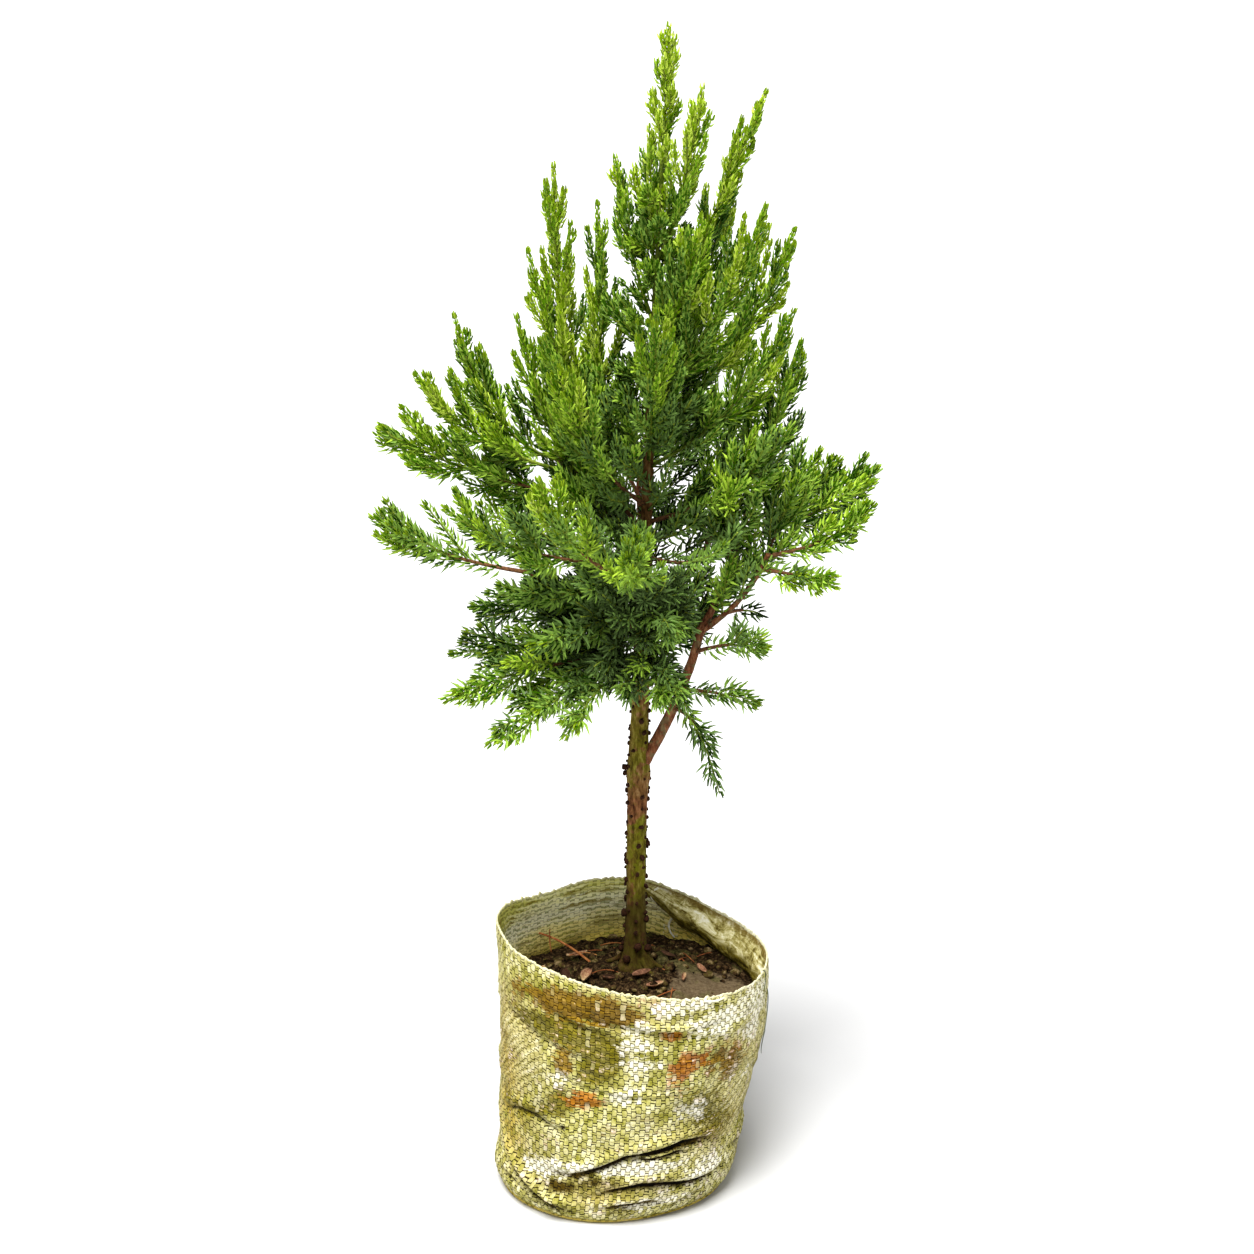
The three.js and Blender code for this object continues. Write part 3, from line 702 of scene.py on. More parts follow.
def crease_field(angle, z):
    """How far creases press the wall in or push it out, and how near each point is to one."""
    degrees = np.degrees(angle)
    pressed = np.zeros_like(z)
    near = np.zeros_like(z)
    per_degree = MOUTH_RADIUS * math.pi / 180
    for depth, width, points in CREASES + small_creases():
        distance, place = np.full_like(z, 1e3), np.zeros_like(z)
        for order, ((a0, z0), (a1, z1)) in enumerate(pairwise(points)):
            along = np.array([(a1 - a0) * per_degree, z1 - z0])
            from_x, from_z = apart(degrees, a0) * per_degree, z - z0
            share = np.clip((from_x * along[0] + from_z * along[1]) / (along @ along), 0, 1)
            off = np.hypot(from_x - share * along[0], from_z - share * along[1])
            nearer = off < np.abs(distance)
            distance = np.where(nearer, np.where(from_z < share * along[1], off, -off), distance)
            place = np.where(nearer, (order + share) / (len(points) - 1), place)
        taper = np.sin(math.pi * np.clip(place, 0.02, 0.98)) ** 0.7
        valley = bell(distance, 0, width) * taper
        ridge = bell(distance, -2.4 * width, 1.7 * width) * taper
        pressed += CREASE_DEPTH * depth * (0.7 * ridge - valley)
        near = np.maximum(near, valley * min(1, depth / 2.4))
    return pressed, near


# The stains of each kind: azimuth, height, half the width in degrees, half the height and strength.
STAINS = {
    "ochre": [
        (-144, 164, 12, 8, 0.7), (-126, 167, 14, 11, 1.0), (-110, 165, 15, 12, 1.2),
        (-94, 161, 10, 9, 0.9), (-121, 120, 7, 14, 0.9), (-36, 104, 15, 30, 0.5),
        (-50, 120, 12, 12, 0.7), (20, 165, 23, 19, 0.6), (110, 110, 18, 24, 0.7),
    ],
    "rust": [
        (-110, 97, 9, 8, 1.2), (-72, 144, 7, 5, 1.0), (-68, 120, 7, 11, 1.1), (-60, 125, 9, 7, 0.7),
        (-84, 173, 7, 5, 0.6), (-34, 124, 9, 11, 0.4),
    ],
    "moss": [
        (-134, 147, 16, 9, 0.8), (-118, 146, 14, 11, 1.1), (-101, 138, 10, 12, 1.1),
        (-106, 119, 12, 15, 1.1), (-120, 94, 8, 11, 0.8), (-148, 76, 12, 9, 0.8),
        (-132, 82, 10, 8, 0.6), (-56, 92, 16, 19, 0.6), (-46, 70, 18, 16, 0.55), (-12, 66, 14, 49, 0.7),
        (-100, 76, 30, 22, 0.3), (60, 60, 39, 40, 0.8), (150, 130, 30, 32, 0.6),
    ],
    "yellow": [
        (-152, 60, 16, 34, 1.0), (-160, 110, 12, 40, 0.7), (-96, 26, 26, 14, 0.7),
        (-50, 60, 30, 20, 0.35), (-120, 156, 40, 26, 0.5), (60, 90, 60, 60, 0.6),
    ],
    "pale": [
        (-91, 141, 7, 5, 1.0), (-85, 128, 9, 11, 0.9), (-92, 102, 10, 8, 0.8), (-52, 148, 16, 12, 1.1),
        (-28, 128, 9, 8, 1.0), (-22, 150, 14, 14, 0.8), (-30, 96, 12, 12, 0.6), (-60, 84, 12, 8, 0.5),
        (-72, 166, 14, 6, 0.8), (-88, 152, 8, 5, 0.9), (-122, 110, 7, 7, 0.6), (-128, 38, 12, 6, 1.2),
        (-110, 45, 12, 5, 1.0), (-90, 47, 12, 5, 1.1), (-74, 47, 12, 5, 1.0), (-48, 35, 16, 8, 0.9),
        (-78, 17, 22, 6, 0.9), (84, 130, 24, 20, 0.8), (30, 90, 18, 22, 0.6),
    ],
    # the dragged weave's pale hatch, partly its own pattern and partly painted light on the sides
    "drag_and_painted_light": [
        (-158, 120, 20, 44, 1.1), (-140, 118, 10, 18, 0.8), (-30, 110, 26, 38, 1.1),
        (-40, 74, 22, 20, 1.0), (100, 110, 40, 50, 1.0),
    ],
    # grime spots; the bag adds painted shade along the creases and a darkening towards the bottom to these
    "grime_and_crease_shade": [
        (-104, 36, 14, 6, 0.6), (-120, 28, 10, 5, 0.8), (-60, 60, 12, 4, 0.7), (-74, 36, 16, 4, 0.5),
        (-33, 146, 8, 6, 0.6), (100, 22, 50, 10, 0.6),
    ],
}
HOLE = (-120, 73.5, 2.6)  # a small tear: its azimuth, height and half width


def stain_values(kind, angle, z):
    degrees = np.degrees(angle)
    total = np.zeros_like(z)
    for at, height, wide, tall, strength in STAINS[kind]:
        total += strength * np.exp(-((apart(degrees, at) / wide) ** 2) - ((z - height) / tall) ** 2)
    return total


def hole_depth(angle, z):
    """1 in the middle of the tear and 0 away from it."""
    at, height, wide = HOLE
    aside = np.abs(apart(np.degrees(angle), at)) * MOUTH_RADIUS * math.pi / 180
    return np.clip(1.5 - (aside + np.abs(z - height)) / wide, 0, 1)


def tape_cells(paint, weave):
    """Where the weave's pale floats show, staggered by columns, and its weft, and a chance for each."""
    across, up = paint.axis(weave, 0), paint.axis(weave, 1)
    column = paint.math("FLOOR", across)
    pair = paint.times(paint.math("ADD", up, column), 0.5)
    chance = paint.cell(paint.pair(column, paint.math("FLOOR", pair)))
    share = paint.math("FRACT", pair)
    off_middle = paint.math("ABSOLUTE", paint.line(paint.math("FRACT", across), 2.0, -1.0))

    def off(middle, half):
        return paint.math("DIVIDE", paint.math("ABSOLUTE", paint.math("SUBTRACT", share, middle)), half)

    along = off(FLOAT_SHARE / 2, FLOAT_SHARE / 2)
    edge = paint.sum((paint.math("POWER", off_middle, 6.0), 1.0), (paint.math("POWER", along, 6.0), 1.0))
    gap = (1 - FLOAT_SHARE) / 2
    return paint.step(edge, 0.88, 0.5), paint.step(off(1 - gap, gap), 0.85, 0.4), chance


class Cloth(Paint):
    """Woven tapes: pale floats over a dirtier weft, dragged askew at the sides, where the pale hatch is also
    painted light, and stained in streaks.
    """

    def __init__(self):
        super().__init__("woven_tape", roughness=0.75, specular=0.06)
        self.at = self.place()
        self.weave = self.drifted(self.node("ShaderNodeUVMap", {"uv_map": "weave"}).outputs[0])
        self.floats, self.weft, self.chance = tape_cells(self, self.weave)
        self.fine = self.noise(self.at, 800, detail=4)
        self.broad = self.noise(self.at, 26, detail=5)
        self.lumps = self.noise(self.at, 110, detail=5, roughness=0.7)
        self.streaks = self.streaked((0.12, 1.5, 1), 0.6)
        self.hatch = self.streaked((0.14, 1.3, 1), 0.4, turn=-38)

    def drifted(self, weave):
        """The weave's map, nudged here and there so the tapes don't lie quite straight."""
        drift = self.node("ShaderNodeTexNoise", Vector=self.at, Scale=120.0, Detail=3.0)
        shift = self.node("ShaderNodeVectorMath", {"operation": "MULTIPLY_ADD"})
        self.feed(shift.inputs[0], drift.outputs["Color"])
        shift.inputs[1].default_value = (1.5, 1.3, 0)
        self.feed(shift.inputs[2], weave)
        return shift.outputs[0]

    def streaked(self, scale, distortion, turn=0.0):
        return self.noise(self.stretched(self.weave, scale, turn), 1.0, detail=4, distortion=distortion)

    def tapes(self):
        warp = self.ramp(
            self.sum((self.chance, 0.32), (self.lumps, 1.3), (self.broad, 0.6), (1.0, -0.6)),
            (0.0, 92, 88, 6), (0.25, 142, 138, 52), (0.45, 188, 182, 110),
            (0.65, 222, 217, 166), (0.9, 251, 249, 232),
        )
        weft = self.ramp(
            self.sum((self.chance, 0.4), (self.lumps, 1.2), (self.broad, 0.7), (1.0, -0.6)),
            (0.0, 84, 88, 4), (0.25, 134, 130, 44), (0.45, 176, 170, 94),
            (0.65, 210, 204, 144), (0.9, 240, 236, 204),
        )
        grout = self.ramp(self.lumps, (0.35, 34, 30, 0), (0.55, 80, 74, 6), (0.72, 140, 132, 56))
        return self.blend(self.floats, self.blend(self.weft, grout, weft), warp)

    def dragged_with_painted_light(self, colour):
        # A pale hatch of dragged tapes: partly their own pattern, partly painted light that lifts the sides.
        lines = ((0.3, 118, 108, 46), (0.45, 176, 166, 102), (0.58, 224, 216, 166), (0.72, 249, 246, 224))
        drag_and_painted_light = self.sum((self.values("drag_and_painted_light"), 1.0), (self.broad, 0.6), (1.0, -0.45))
        return self.blend(self.times(self.step(drag_and_painted_light, 0.1, 0.7), 0.8), colour, self.ramp(self.hatch, *lines))

    def stained(self, colour, name, tint, much):
        """The stain spreads in streaks and lumps and spares a few tapes."""
        grain = ((self.streaks, 1.5), (self.lumps, 2.2), (self.broad, 1.3), (self.chance, 0.35))
        level = self.sum((self.values(name), 1.0), *grain, (1.0, -3.1))
        spared = self.rest(self.times(self.step(self.chance, 0.93, 0.96), 0.45))
        amount = self.times(self.step(level, -0.1, 0.35), spared)
        return self.blend(self.times(amount, much), colour, tint)

    def weathered(self, colour):
        dirt = self.step(self.sum((self.broad, 1.0), (self.streaks, 0.35)), 0.6, 0.85)
        colour = self.blend(self.times(dirt, 0.5), colour, (168, 160, 92), "MULTIPLY")
        yellow = self.times(self.values("yellow"), self.step(self.lumps, 0.25, 0.6))
        colour = self.blend(yellow, colour, (222, 200, 122), "MULTIPLY")
        grain = self.sum((self.streaks, 0.6), (self.lumps, 0.4))
        moss = self.ramp(grain, (0.34, 50, 42, 0), (0.5, 92, 84, 0), (0.66, 148, 134, 24))
        ochre = self.ramp(grain, (0.34, 56, 36, 0), (0.5, 104, 74, 0), (0.66, 164, 130, 28))
        rust = self.ramp(grain, (0.34, 88, 42, 0), (0.5, 146, 78, 0), (0.66, 198, 136, 40))
        for name, tint, much in (("moss", moss, 0.9), ("ochre", ochre, 0.92), ("rust", rust, 0.9)):
            colour = self.stained(colour, name, tint, much)
        return colour

    def lining(self):
        """The bag's inside: cream and olive bands with rows of dark green dashes."""
        streaks = self.streaked((0.09, 1.1, 1), 0.5)
        level = self.sum((self.axis(self.at, 2), 1 / (MOUTH_HEIGHT * MM)), (streaks, 0.2), (1.0, -0.1))
        band = self.ramp(
            level,
            (0.76, 214, 192, 92), (0.84, 252, 240, 160), (0.9, 255, 253, 214),
            (0.96, 255, 252, 188), (1.0, 218, 216, 110),
        )
        rows = self.math("FRACT", self.axis(self.weave, 1))
        dash = self.times(self.step(rows, 0.42, 0.28), self.step(self.chance, 0.45, 0.5))
        band = self.blend(self.times(dash, 0.62), band, (122, 130, 36))
        stain = self.step(self.sum((streaks, 1.0), (self.noise(self.at, 40), 0.6)), 0.82, 0.95)
        return self.blend(self.times(stain, 0.75), band, (134, 116, 24))

    def soiled(self, colour):
        """Dark seams between the tapes, fainter inside where the lift is painted light, grime in spots,
        darker towards the bottom, painted shade in the creases, the tear and the pale rim.
        """
        seams = self.times(self.rest(self.floats), self.rest(self.weft))
        # Painted light: inside, the seams are a third fainter, to lift the shaded inner wall.
        seams = self.times(seams, self.line(self.values("inside"), -0.35, 1.0))
        tint = self.ramp(self.axis(self.at, 2), (0.05, 84, 66, 28), (0.1, 92, 96, 36), (0.16, 134, 124, 68))
        colour = self.blend(seams, colour, tint, "MULTIPLY")
        # Darker at the grime spots, towards the bottom and along the creases, where it is painted shade.
        grime_and_crease_shade = self.sum((self.values("grime_and_crease_shade"), 1.0), (self.lumps, -1.3), (self.fine, -0.5), (1.0, 0.65))
        colour = self.blend(self.step(grime_and_crease_shade, 0.05, 0.7), colour, (104, 88, 36), "MULTIPLY")
        # Painted shade: darker still in the valleys of the creases.
        colour = self.blend(self.step(self.values("crease_shade"), 0.12, 0.6), colour, (70, 54, 20), "MULTIPLY")
        colour = self.blend(self.values("tear"), colour, (40, 30, 10))
        return self.blend(self.times(self.values("rim"), 0.85), colour, (226, 220, 184))


def cloth_paint():
    cloth = Cloth()
    colour = cloth.weathered(cloth.dragged_with_painted_light(cloth.tapes()))
    colour = cloth.blend(cloth.values("inside"), colour, cloth.lining())
    pale = cloth.ramp(cloth.floats, (0.0, 222, 217, 182), (1.0, 250, 247, 234))
    colour = cloth.soiled(cloth.stained(colour, "pale", pale, 0.7))
    relief = ((cloth.floats, 1.0), (cloth.weft, 0.5), (cloth.fine, 0.5), (cloth.hatch, 0.4))
    cloth.bump(cloth.sum(*relief), 0.0006, 0.8)
    return cloth.finish(colour)


def bag_rings():
    """The sack's rings from its foot up the outside and down the inside: each its points, how many
    tapes up it lies, how near its points are to a crease and whether it is inside."""
    columns = TAPE_COLUMNS * TAPES_ROUND
    angle = around(columns)
    u = np.arange(columns) / TAPE_COLUMNS
    fray = np.random.default_rng(FRAY_SEED).normal(0, 0.5, columns)
    rings = []

    def ring(share, v, inside):
        z = share * (mouth_height(angle) + fray * (share > FRAYED_FROM))
        pressed, near = crease_field(angle, z)
        fade = smooth(0, 0.08, share)
        places = [Vector((math.cos(a) * 4, math.sin(a) * 4, h / 22)) for a, h in zip(angle, z)]
        rippled = [noise.noise(place) for place in places]
        out = pressed * fade - TEAR_DEPTH * hole_depth(angle, z)
        out = out + RIPPLE * fade * np.array(rippled) - TAPE_RELIEF
        if inside and share <= BURIED:
            out = np.full(columns, -BURIED_INSET)
        out = out + raised(u, v) * (not inside) - CLOTH * inside
        rings.append((bag_points(angle, z, out), v, near, inside))

    for share in np.linspace(0, 1, TAPE_ROWS * TAPES_UP + 1):
        ring(share, share * TAPES_UP, False)
    for share in np.concatenate([np.linspace(1, 0.66, 37), np.linspace(0.6, 0.03, 9)]):
        ring(share, share * TAPES_UP, True)
    floor = bag_points(angle, 0.03 * mouth_height(angle), -CLOTH - 1)
    floor[:, 2] = CLOTH + 0.7
    rings.append((floor, 0.0, np.zeros(columns), True))
    return angle, rings


def raised(u, v):
    """How far the pale float of the weave stands out at a place."""
    share = ((v + np.floor(u)) / 2) % 1
    along = np.sin(math.pi * np.clip(share / FLOAT_SHARE, 0, 1)) ** 0.6
    return TAPE_RELIEF * along * np.sin(math.pi * (u % 1)) ** 0.6


def weave_map(made, columns, ups):
    """The weave's own map, in tapes round the wall and tapes up it."""
    uv = made.data.uv_layers.new(name="weave")
    corners = np.array([loop.vertex_index for loop in made.data.loops])
    across = (corners % columns) / TAPE_COLUMNS
    loops = [(face.loop_start, face.loop_total) for face in made.data.polygons]
    first = (corners[np.repeat(*zip(*loops))] % columns) / TAPE_COLUMNS
    across = np.where(across < first - 1, across + TAPES_ROUND, across)
    across = np.where(across > first + TAPES_ROUND / 2, across - TAPES_ROUND, across)
    uv.data.foreach_set("uv", np.stack([across, ups[corners]], -1).ravel())


def bag(material):
    """The sack: an outside wall with the relief of its tapes, a rim, an inside wall and a floor."""
    angle, rings = bag_rings()
    columns, count = len(angle), len(rings)
    walls, ups, nears, insides = zip(*rings)
    points, near = np.concatenate(walls), np.concatenate(nears)
    made = mesh_piece("bag", points, tube_faces(count, columns), [material], "woven_tape")
    angles, heights = np.tile(angle, count), points[:, 2]
    inside = np.repeat(insides, columns).astype(float)
    outside = 1 - inside
    for kind in STAINS:
        stain = stain_values(kind, angles, heights)
        if kind == "grime_and_crease_shade":
            # Painted shade along the creases, stronger low down, and darker towards the bottom.
            stain = stain + near * mix(0.3, 0.9, smooth(150, 60, heights)) + 0.3 * smooth(62, 12, heights)
        point_values(made, kind, stain * outside)
    # Painted shade in the crease valleys of the lower wall.
    point_values(made, "crease_shade", near**2 * smooth(150, 75, heights) * outside)
    point_values(made, "inside", inside)
    point_values(made, "tear", smooth(0.35, 0.7, hole_depth(angles, heights)) * outside)
    point_values(made, "rim", bell(heights, mouth_height(angles), 1.0))
    weave_map(made, columns, np.repeat(ups, columns))
    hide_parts("grow_bag")


# The soil and what lies on it


def mound_height(x, y):
    """The height of the smooth soil, heaped to the trunk's foot."""
    far = np.hypot(x - FOOT_X, y - FOOT_Y) / MOUND_RADIUS
    heaped = mix(SOIL_EDGE, FOOT_HEIGHT, np.exp(-(far**3)))
    return np.where(far < MOUND_FLAT, FOOT_HEIGHT - 1, heaped)


def muddiness(x, y, wide):
    """1 in the middle of the patch of mud and 0 far from it."""
    return bell(x, MUD_AT[0], wide) * bell(y, MUD_AT[1], MUD_LENGTH)


def soil_lumps(x, y):
    """Crumbs and clods on the soil, smoother at the right front where it has been watered flat."""
    broad = noise.noise(Vector((x / 21, y / 21, 1.7))) * 2.4
    clods = noise.fractal(Vector((x / 7, y / 7, 4.1)), 0.8, 2.1, 4) * 2.6
    cracks = abs(noise.noise(Vector((x / 9, y / 9, 8.3)))) * -2.4
    return (broad + clods + cracks) * (1 - 0.85 * float(muddiness(x, y, MUD_SMOOTH_WIDTH)))


def soil_paint():
    paint = Paint("soil", roughness=0.95, specular=0.04)
    place = paint.place()
    broad = paint.noise(place, 45, detail=5)
    fine = paint.noise(place, 420, detail=6, roughness=0.75)
    earth = paint.ramp(fine, (0.36, 6, 3, 0), (0.48, 32, 21, 10), (0.58, 68, 51, 30), (0.72, 122, 101, 72))
    mud = paint.ramp(fine, (0.35, 74, 60, 42), (0.65, 112, 96, 72))
    edge = paint.sum((paint.values("mud"), 1.0), (broad, 2.4), (fine, 0.8), (1.0, -1.6))
    colour = paint.blend(paint.step(edge, 0.25, 0.75), earth, mud)
    olive = paint.ramp(fine, (0.35, 40, 38, 14), (0.75, 112, 108, 58))
    colour = paint.blend(paint.times(paint.step(broad, 0.52, 0.62), 0.6), colour, olive)
    paint.bump(fine, 0.0012, 0.9)
    return paint.finish(colour)


def soil(material):
    """The bag's filling: level at the wall, heaped gently to the trunk's foot, lumpy on top."""
    angle = around(SOIL_SIDES)
    inset = -(CLOTH + 1.6)

    def at_wall(z, out):
        return bag_points(angle, np.full(SOIL_SIDES, float(z)), out)

    rings = [at_wall(z, inset - BURIED_INSET) for z in (2.6, 12, 30, 55, 80, 105, 125)]
    pressed = crease_field(angle, np.full(SOIL_SIDES, float(SOIL_EDGE)))[0]
    edge = at_wall(SOIL_EDGE, inset + 1.0 + np.minimum(pressed, 0))
    foot = np.array([FOOT_X, FOOT_Y, FOOT_HEIGHT])
    for share in np.linspace(0, 0.985, SOIL_RINGS):
        ring = mix(edge, foot, share)
        lumps = np.array([soil_lumps(x, y) for x, y in ring[:, :2]])
        ring[:, 2] = mound_height(ring[:, 0], ring[:, 1]) + lumps * smooth(0.99, 0.8, share)
        rings.append(ring)
    points = np.concatenate(rings)
    made = mesh_piece("soil", points, tube_faces(len(rings), SOIL_SIDES), [material], "soil")
    point_values(made, "mud", smooth(0.1, 0.8, muddiness(points[:, 0], points[:, 1], MUD_WIDTH)))
    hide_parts("root_ball")


def soil_at(x, y):
    """A place on the soil's surface."""
    return Vector((x, y, float(mound_height(x, y)) + soil_lumps(x, y)))


def lump(centre, radius, rng):
    """A small irregular clod."""
    points = [centre + UP * radius * 0.8]
    for level, wide in ((0.5, 0.75), (0, 1.0), (-0.5, 0.75)):
        for i in range(6):
            turn = (i + level) / 6 * 2 * math.pi
            reach = radius * wide * rng.uniform(0.7, 1.25)
            out = Vector((math.cos(turn) * reach, math.sin(turn) * reach, radius * level * 0.9))
            points.append(centre + out)
    points.append(centre - UP * radius * 0.8)
    faces = [[0, 1 + i, 1 + (i + 1) % 6] for i in range(6)]
    faces += [[19, 13 + (i + 1) % 6, 13 + i] for i in range(6)]
    for ring in (1, 7):
        faces += [[ring + i, ring + 6 + i, ring + 6 + (i + 1) % 6, ring + (i + 1) % 6] for i in range(6)]
    return points, faces


def crumbs(material):
    """Clods and crumbs all over the soil, fewer on the mud."""
    rng = np.random.default_rng(CRUMB_SEED)
    x0, y0 = bag_centre(SOIL_EDGE)
    parts = []
    while len(parts) < CRUMBS:
        turn, reach = rng.uniform(0, 2 * math.pi), CRUMB_REACH * math.sqrt(rng.uniform(0, 1))
        x, y = x0 + reach * math.cos(turn), y0 + reach * math.sin(turn)
        muddy = muddiness(x, y, MUD_WIDTH) > math.exp(-1)
        if (muddy and rng.uniform() < CRUMBS_OFF_MUD) or math.hypot(x - FOOT_X, y - FOOT_Y) < CRUMBS_CLEAR:
            continue
        radius = mix(*CRUMB_RADIUS, rng.uniform() ** 3)
        parts.append(lump(soil_at(x, y) + UP * 0.25 * radius, radius, rng))
    mesh_piece("soil_crumbs", *joined(parts), [material], "soil")


def grained(name, roughness, specular, scale, detail, *stops):
    """A material whose colour changes with one noise."""
    paint = Paint(name, roughness, specular)
    return paint.finish(paint.ramp(paint.noise(paint.place(), scale, detail), *stops))


def speckled(name, roughness, specular, scales, share, *stops):
    """A material whose colour changes from lump to lump, with a share of a finer grain."""
    paint = Paint(name, roughness, specular)
    place = paint.place()
    lumps = paint.noise(place, scales[0], 1)
    grain = paint.noise(place, scales[1], 4)
    level = paint.sum((lumps, 1.0), (grain, share), (1.0, -share / 2))
    return paint.finish(paint.ramp(level, *stops))


def crumb_paint():
    dark = ((0.34, 10, 5, 1), (0.46, 42, 28, 14), (0.52, 78, 58, 36))
    return speckled("crumbs", 0.95, 0.04, (130, 700), 0.5, *dark, (0.58, 62, 56, 16), (0.68, 126, 106, 74))


def curled_leaf(centre, turn, length, width, roll):
    """A dead leaf: a thin closed sheet that rolls up about its length."""
    along = outwards(turn, 0.15).normalized()
    side = along.cross(UP).normalized()
    up = side.cross(along)
    half = up * LEAF_THICK / 2
    points = []
    for t in np.linspace(0, 1, LEAF_ROWS):
        reach = width * math.sin(math.pi * mix(0.08, 0.96, t)) ** 0.7 / roll
        middle = centre + along * (t - 0.5) * length
        lift = up * (0.12 * length * (2 * t - 1) ** 2)
        for bend in np.linspace(-0.5, 0.5, LEAF_COLUMNS) * roll:
            points.append(middle + (side * math.sin(bend) * reach - up * (math.cos(bend) - 1) * reach) + lift)
    return [at + half for at in points] + [at - half for at in points], sheet_faces(LEAF_ROWS, LEAF_COLUMNS)


# Each dead leaf on the soil: x, y, which way it points, its length, its width and how far it rolls up.
DEAD_LEAVES = [
    (19, 6, 20, 13, 9, 2.6), (37, 42, 150, 11, 5, 2.2), (-34, 20, 100, 15, 12, 3.6),
    (-19, 15, 70, 14, 12, 3.4), (-4, 8, -30, 10, 8, 4.0), (48, 14, 80, 9, 7, 4.4),
    (28, -2, 10, 12, 7, 2.4), (-52, 40, 40, 13, 7, 2.6), (-26, 52, 10, 15, 6, 2.0),
    (60, 30, 120, 11, 6, 2.6), (-8, -30, 60, 14, 8, 2.6), (40, -40, 160, 12, 7, 2.4),
    (-40, -20, 20, 13, 8, 3.0),
]


def dead_leaves(material):
    parts = []
    for x, y, heading, length, width, roll in DEAD_LEAVES:
        parts.append(curled_leaf(soil_at(x, y) + UP * 1.6, math.radians(heading), length, width, roll))
    mesh_piece("dead_leaves", *joined(parts), [material], "soil")


def leaf_paint():
    browns = ((0.36, 58, 38, 24), (0.46, 104, 70, 50), (0.54, 142, 100, 74), (0.64, 178, 152, 110))
    return speckled("dead_leaf", 0.8, 0.1, (36, 500), 0.4, *browns)


# Each stalk: its two radii and the points of its curve.
STALKS = [
    (0.95, 0.8, [(-10, 30, 140), (-32, 50, 152), (-49, 66, 150)]),
    (0.8, 0.6, [(-49, 66, 150), (-54, 71, 150), (-58, 74, 147)]),
    (0.5, 0.45, [(50, 50, 140), (46, 46, 143), (38, 34, 139)]),
    (0.5, 0.4, [(47, 46, 141), (51, 36, 142), (49, 24, 138)]),
    (0.6, 0.4, [(-44, 60, 139), (-46, 60, 150), (-45, 61, 157)]),
    (0.6, 0.5, [(30, 66, 138), (8, 70, 141), (-14, 64, 138)]),
]
# Each loose thread: whether it is pale, how far out of the wall, and azimuths and heights on it.
THREADS = [
    (True, -2.6, [(79, 171), (86, 164), (78, 158)]),
    (True, -3.4, [(78, 158), (66, 158), (70, 148)]),
    (True, -3.0, [(72, 150), (76, 142), (71, 135)]),
    (False, 1.6, [(-16, 150), (-6, 136), (-14, 118)]),
    (False, 1.8, [(-14, 118), (-18, 108), (-11, 98)]),
    (False, 1.2, [(-22, 168), (-14, 162), (-20, 152)]),
    (True, 1.0, [(-60, 168), (-54, 164), (-50, 166)]),
    (False, 0.9, [(-170, 150), (-164, 158), (-168, 166)]),
]


def stalks_and_threads(stalk_material, thread_material):
    twigs = [Twig(Curve(*map(Vector, points)), radius, tip) for radius, tip, points in STALKS]
    rng = np.random.default_rng(FIBRE_SEED)
    for _ in range(ROOT_FIBRES):
        turn, reach, heading = rng.uniform(0, 2 * math.pi), rng.uniform(14, 72), rng.uniform(0, 2 * math.pi)
        start = soil_at(FOOT_X * 0.9 + reach * math.cos(turn), FOOT_Y * 0.5 + reach * math.sin(turn) * 0.9)
        along = outwards(heading) * rng.uniform(5, 12)
        aside = Vector((-along.y, along.x, 0)) * rng.uniform(-0.6, 0.6) + UP * 4
        twigs.append(Twig(Curve(start - along + UP, start + aside, start + along), 0.45, 0.3))
    mesh_piece("stalks", *twig_tubes(twigs, sides=5, steps=8), [stalk_material], "soil")
    threads = []
    for pale, out, places in THREADS:
        at = [Vector(bag_points(math.radians(azimuth), height, out)) for azimuth, height in places]
        threads.append(Twig(Curve(*at), *((0.95, 0.6) if pale else (0.4, 0.25))))
    mesh_piece("threads", *twig_tubes(threads, sides=5, steps=8), [thread_material], "woven_tape")


def stalk_paint():
    return grained("stalk", 0.7, 0.1, 90, 4, (0.35, 70, 34, 16), (0.5, 146, 84, 44), (0.65, 184, 126, 72))


def thread_paint():
    """Pale threads inside the bag and dark ones outside it at the right."""
    paint = Paint("thread", roughness=0.7, specular=0.1)
    place = paint.place()
    across = paint.axis(place, 0)
    grain = paint.noise(place, 400, detail=3)
    pale = paint.ramp(grain, (0.35, 226, 220, 180), (0.65, 253, 251, 238))
    dark = paint.ramp(grain, (0.35, 44, 52, 30), (0.65, 96, 104, 70))
    return paint.finish(paint.blend(paint.step(across, 0.07, 0.08), pale, dark))


# The rim's back right is folded in: azimuths and heights of the flap's lower edge.
FLAP_EDGE = [(-6, 132), (10, 131), (24, 130), (44, 131), (54, 137.5), (68, 144), (76, 154), (86, 166)]
FLAP_ROWS = 22
FLAP_COLUMNS = 70


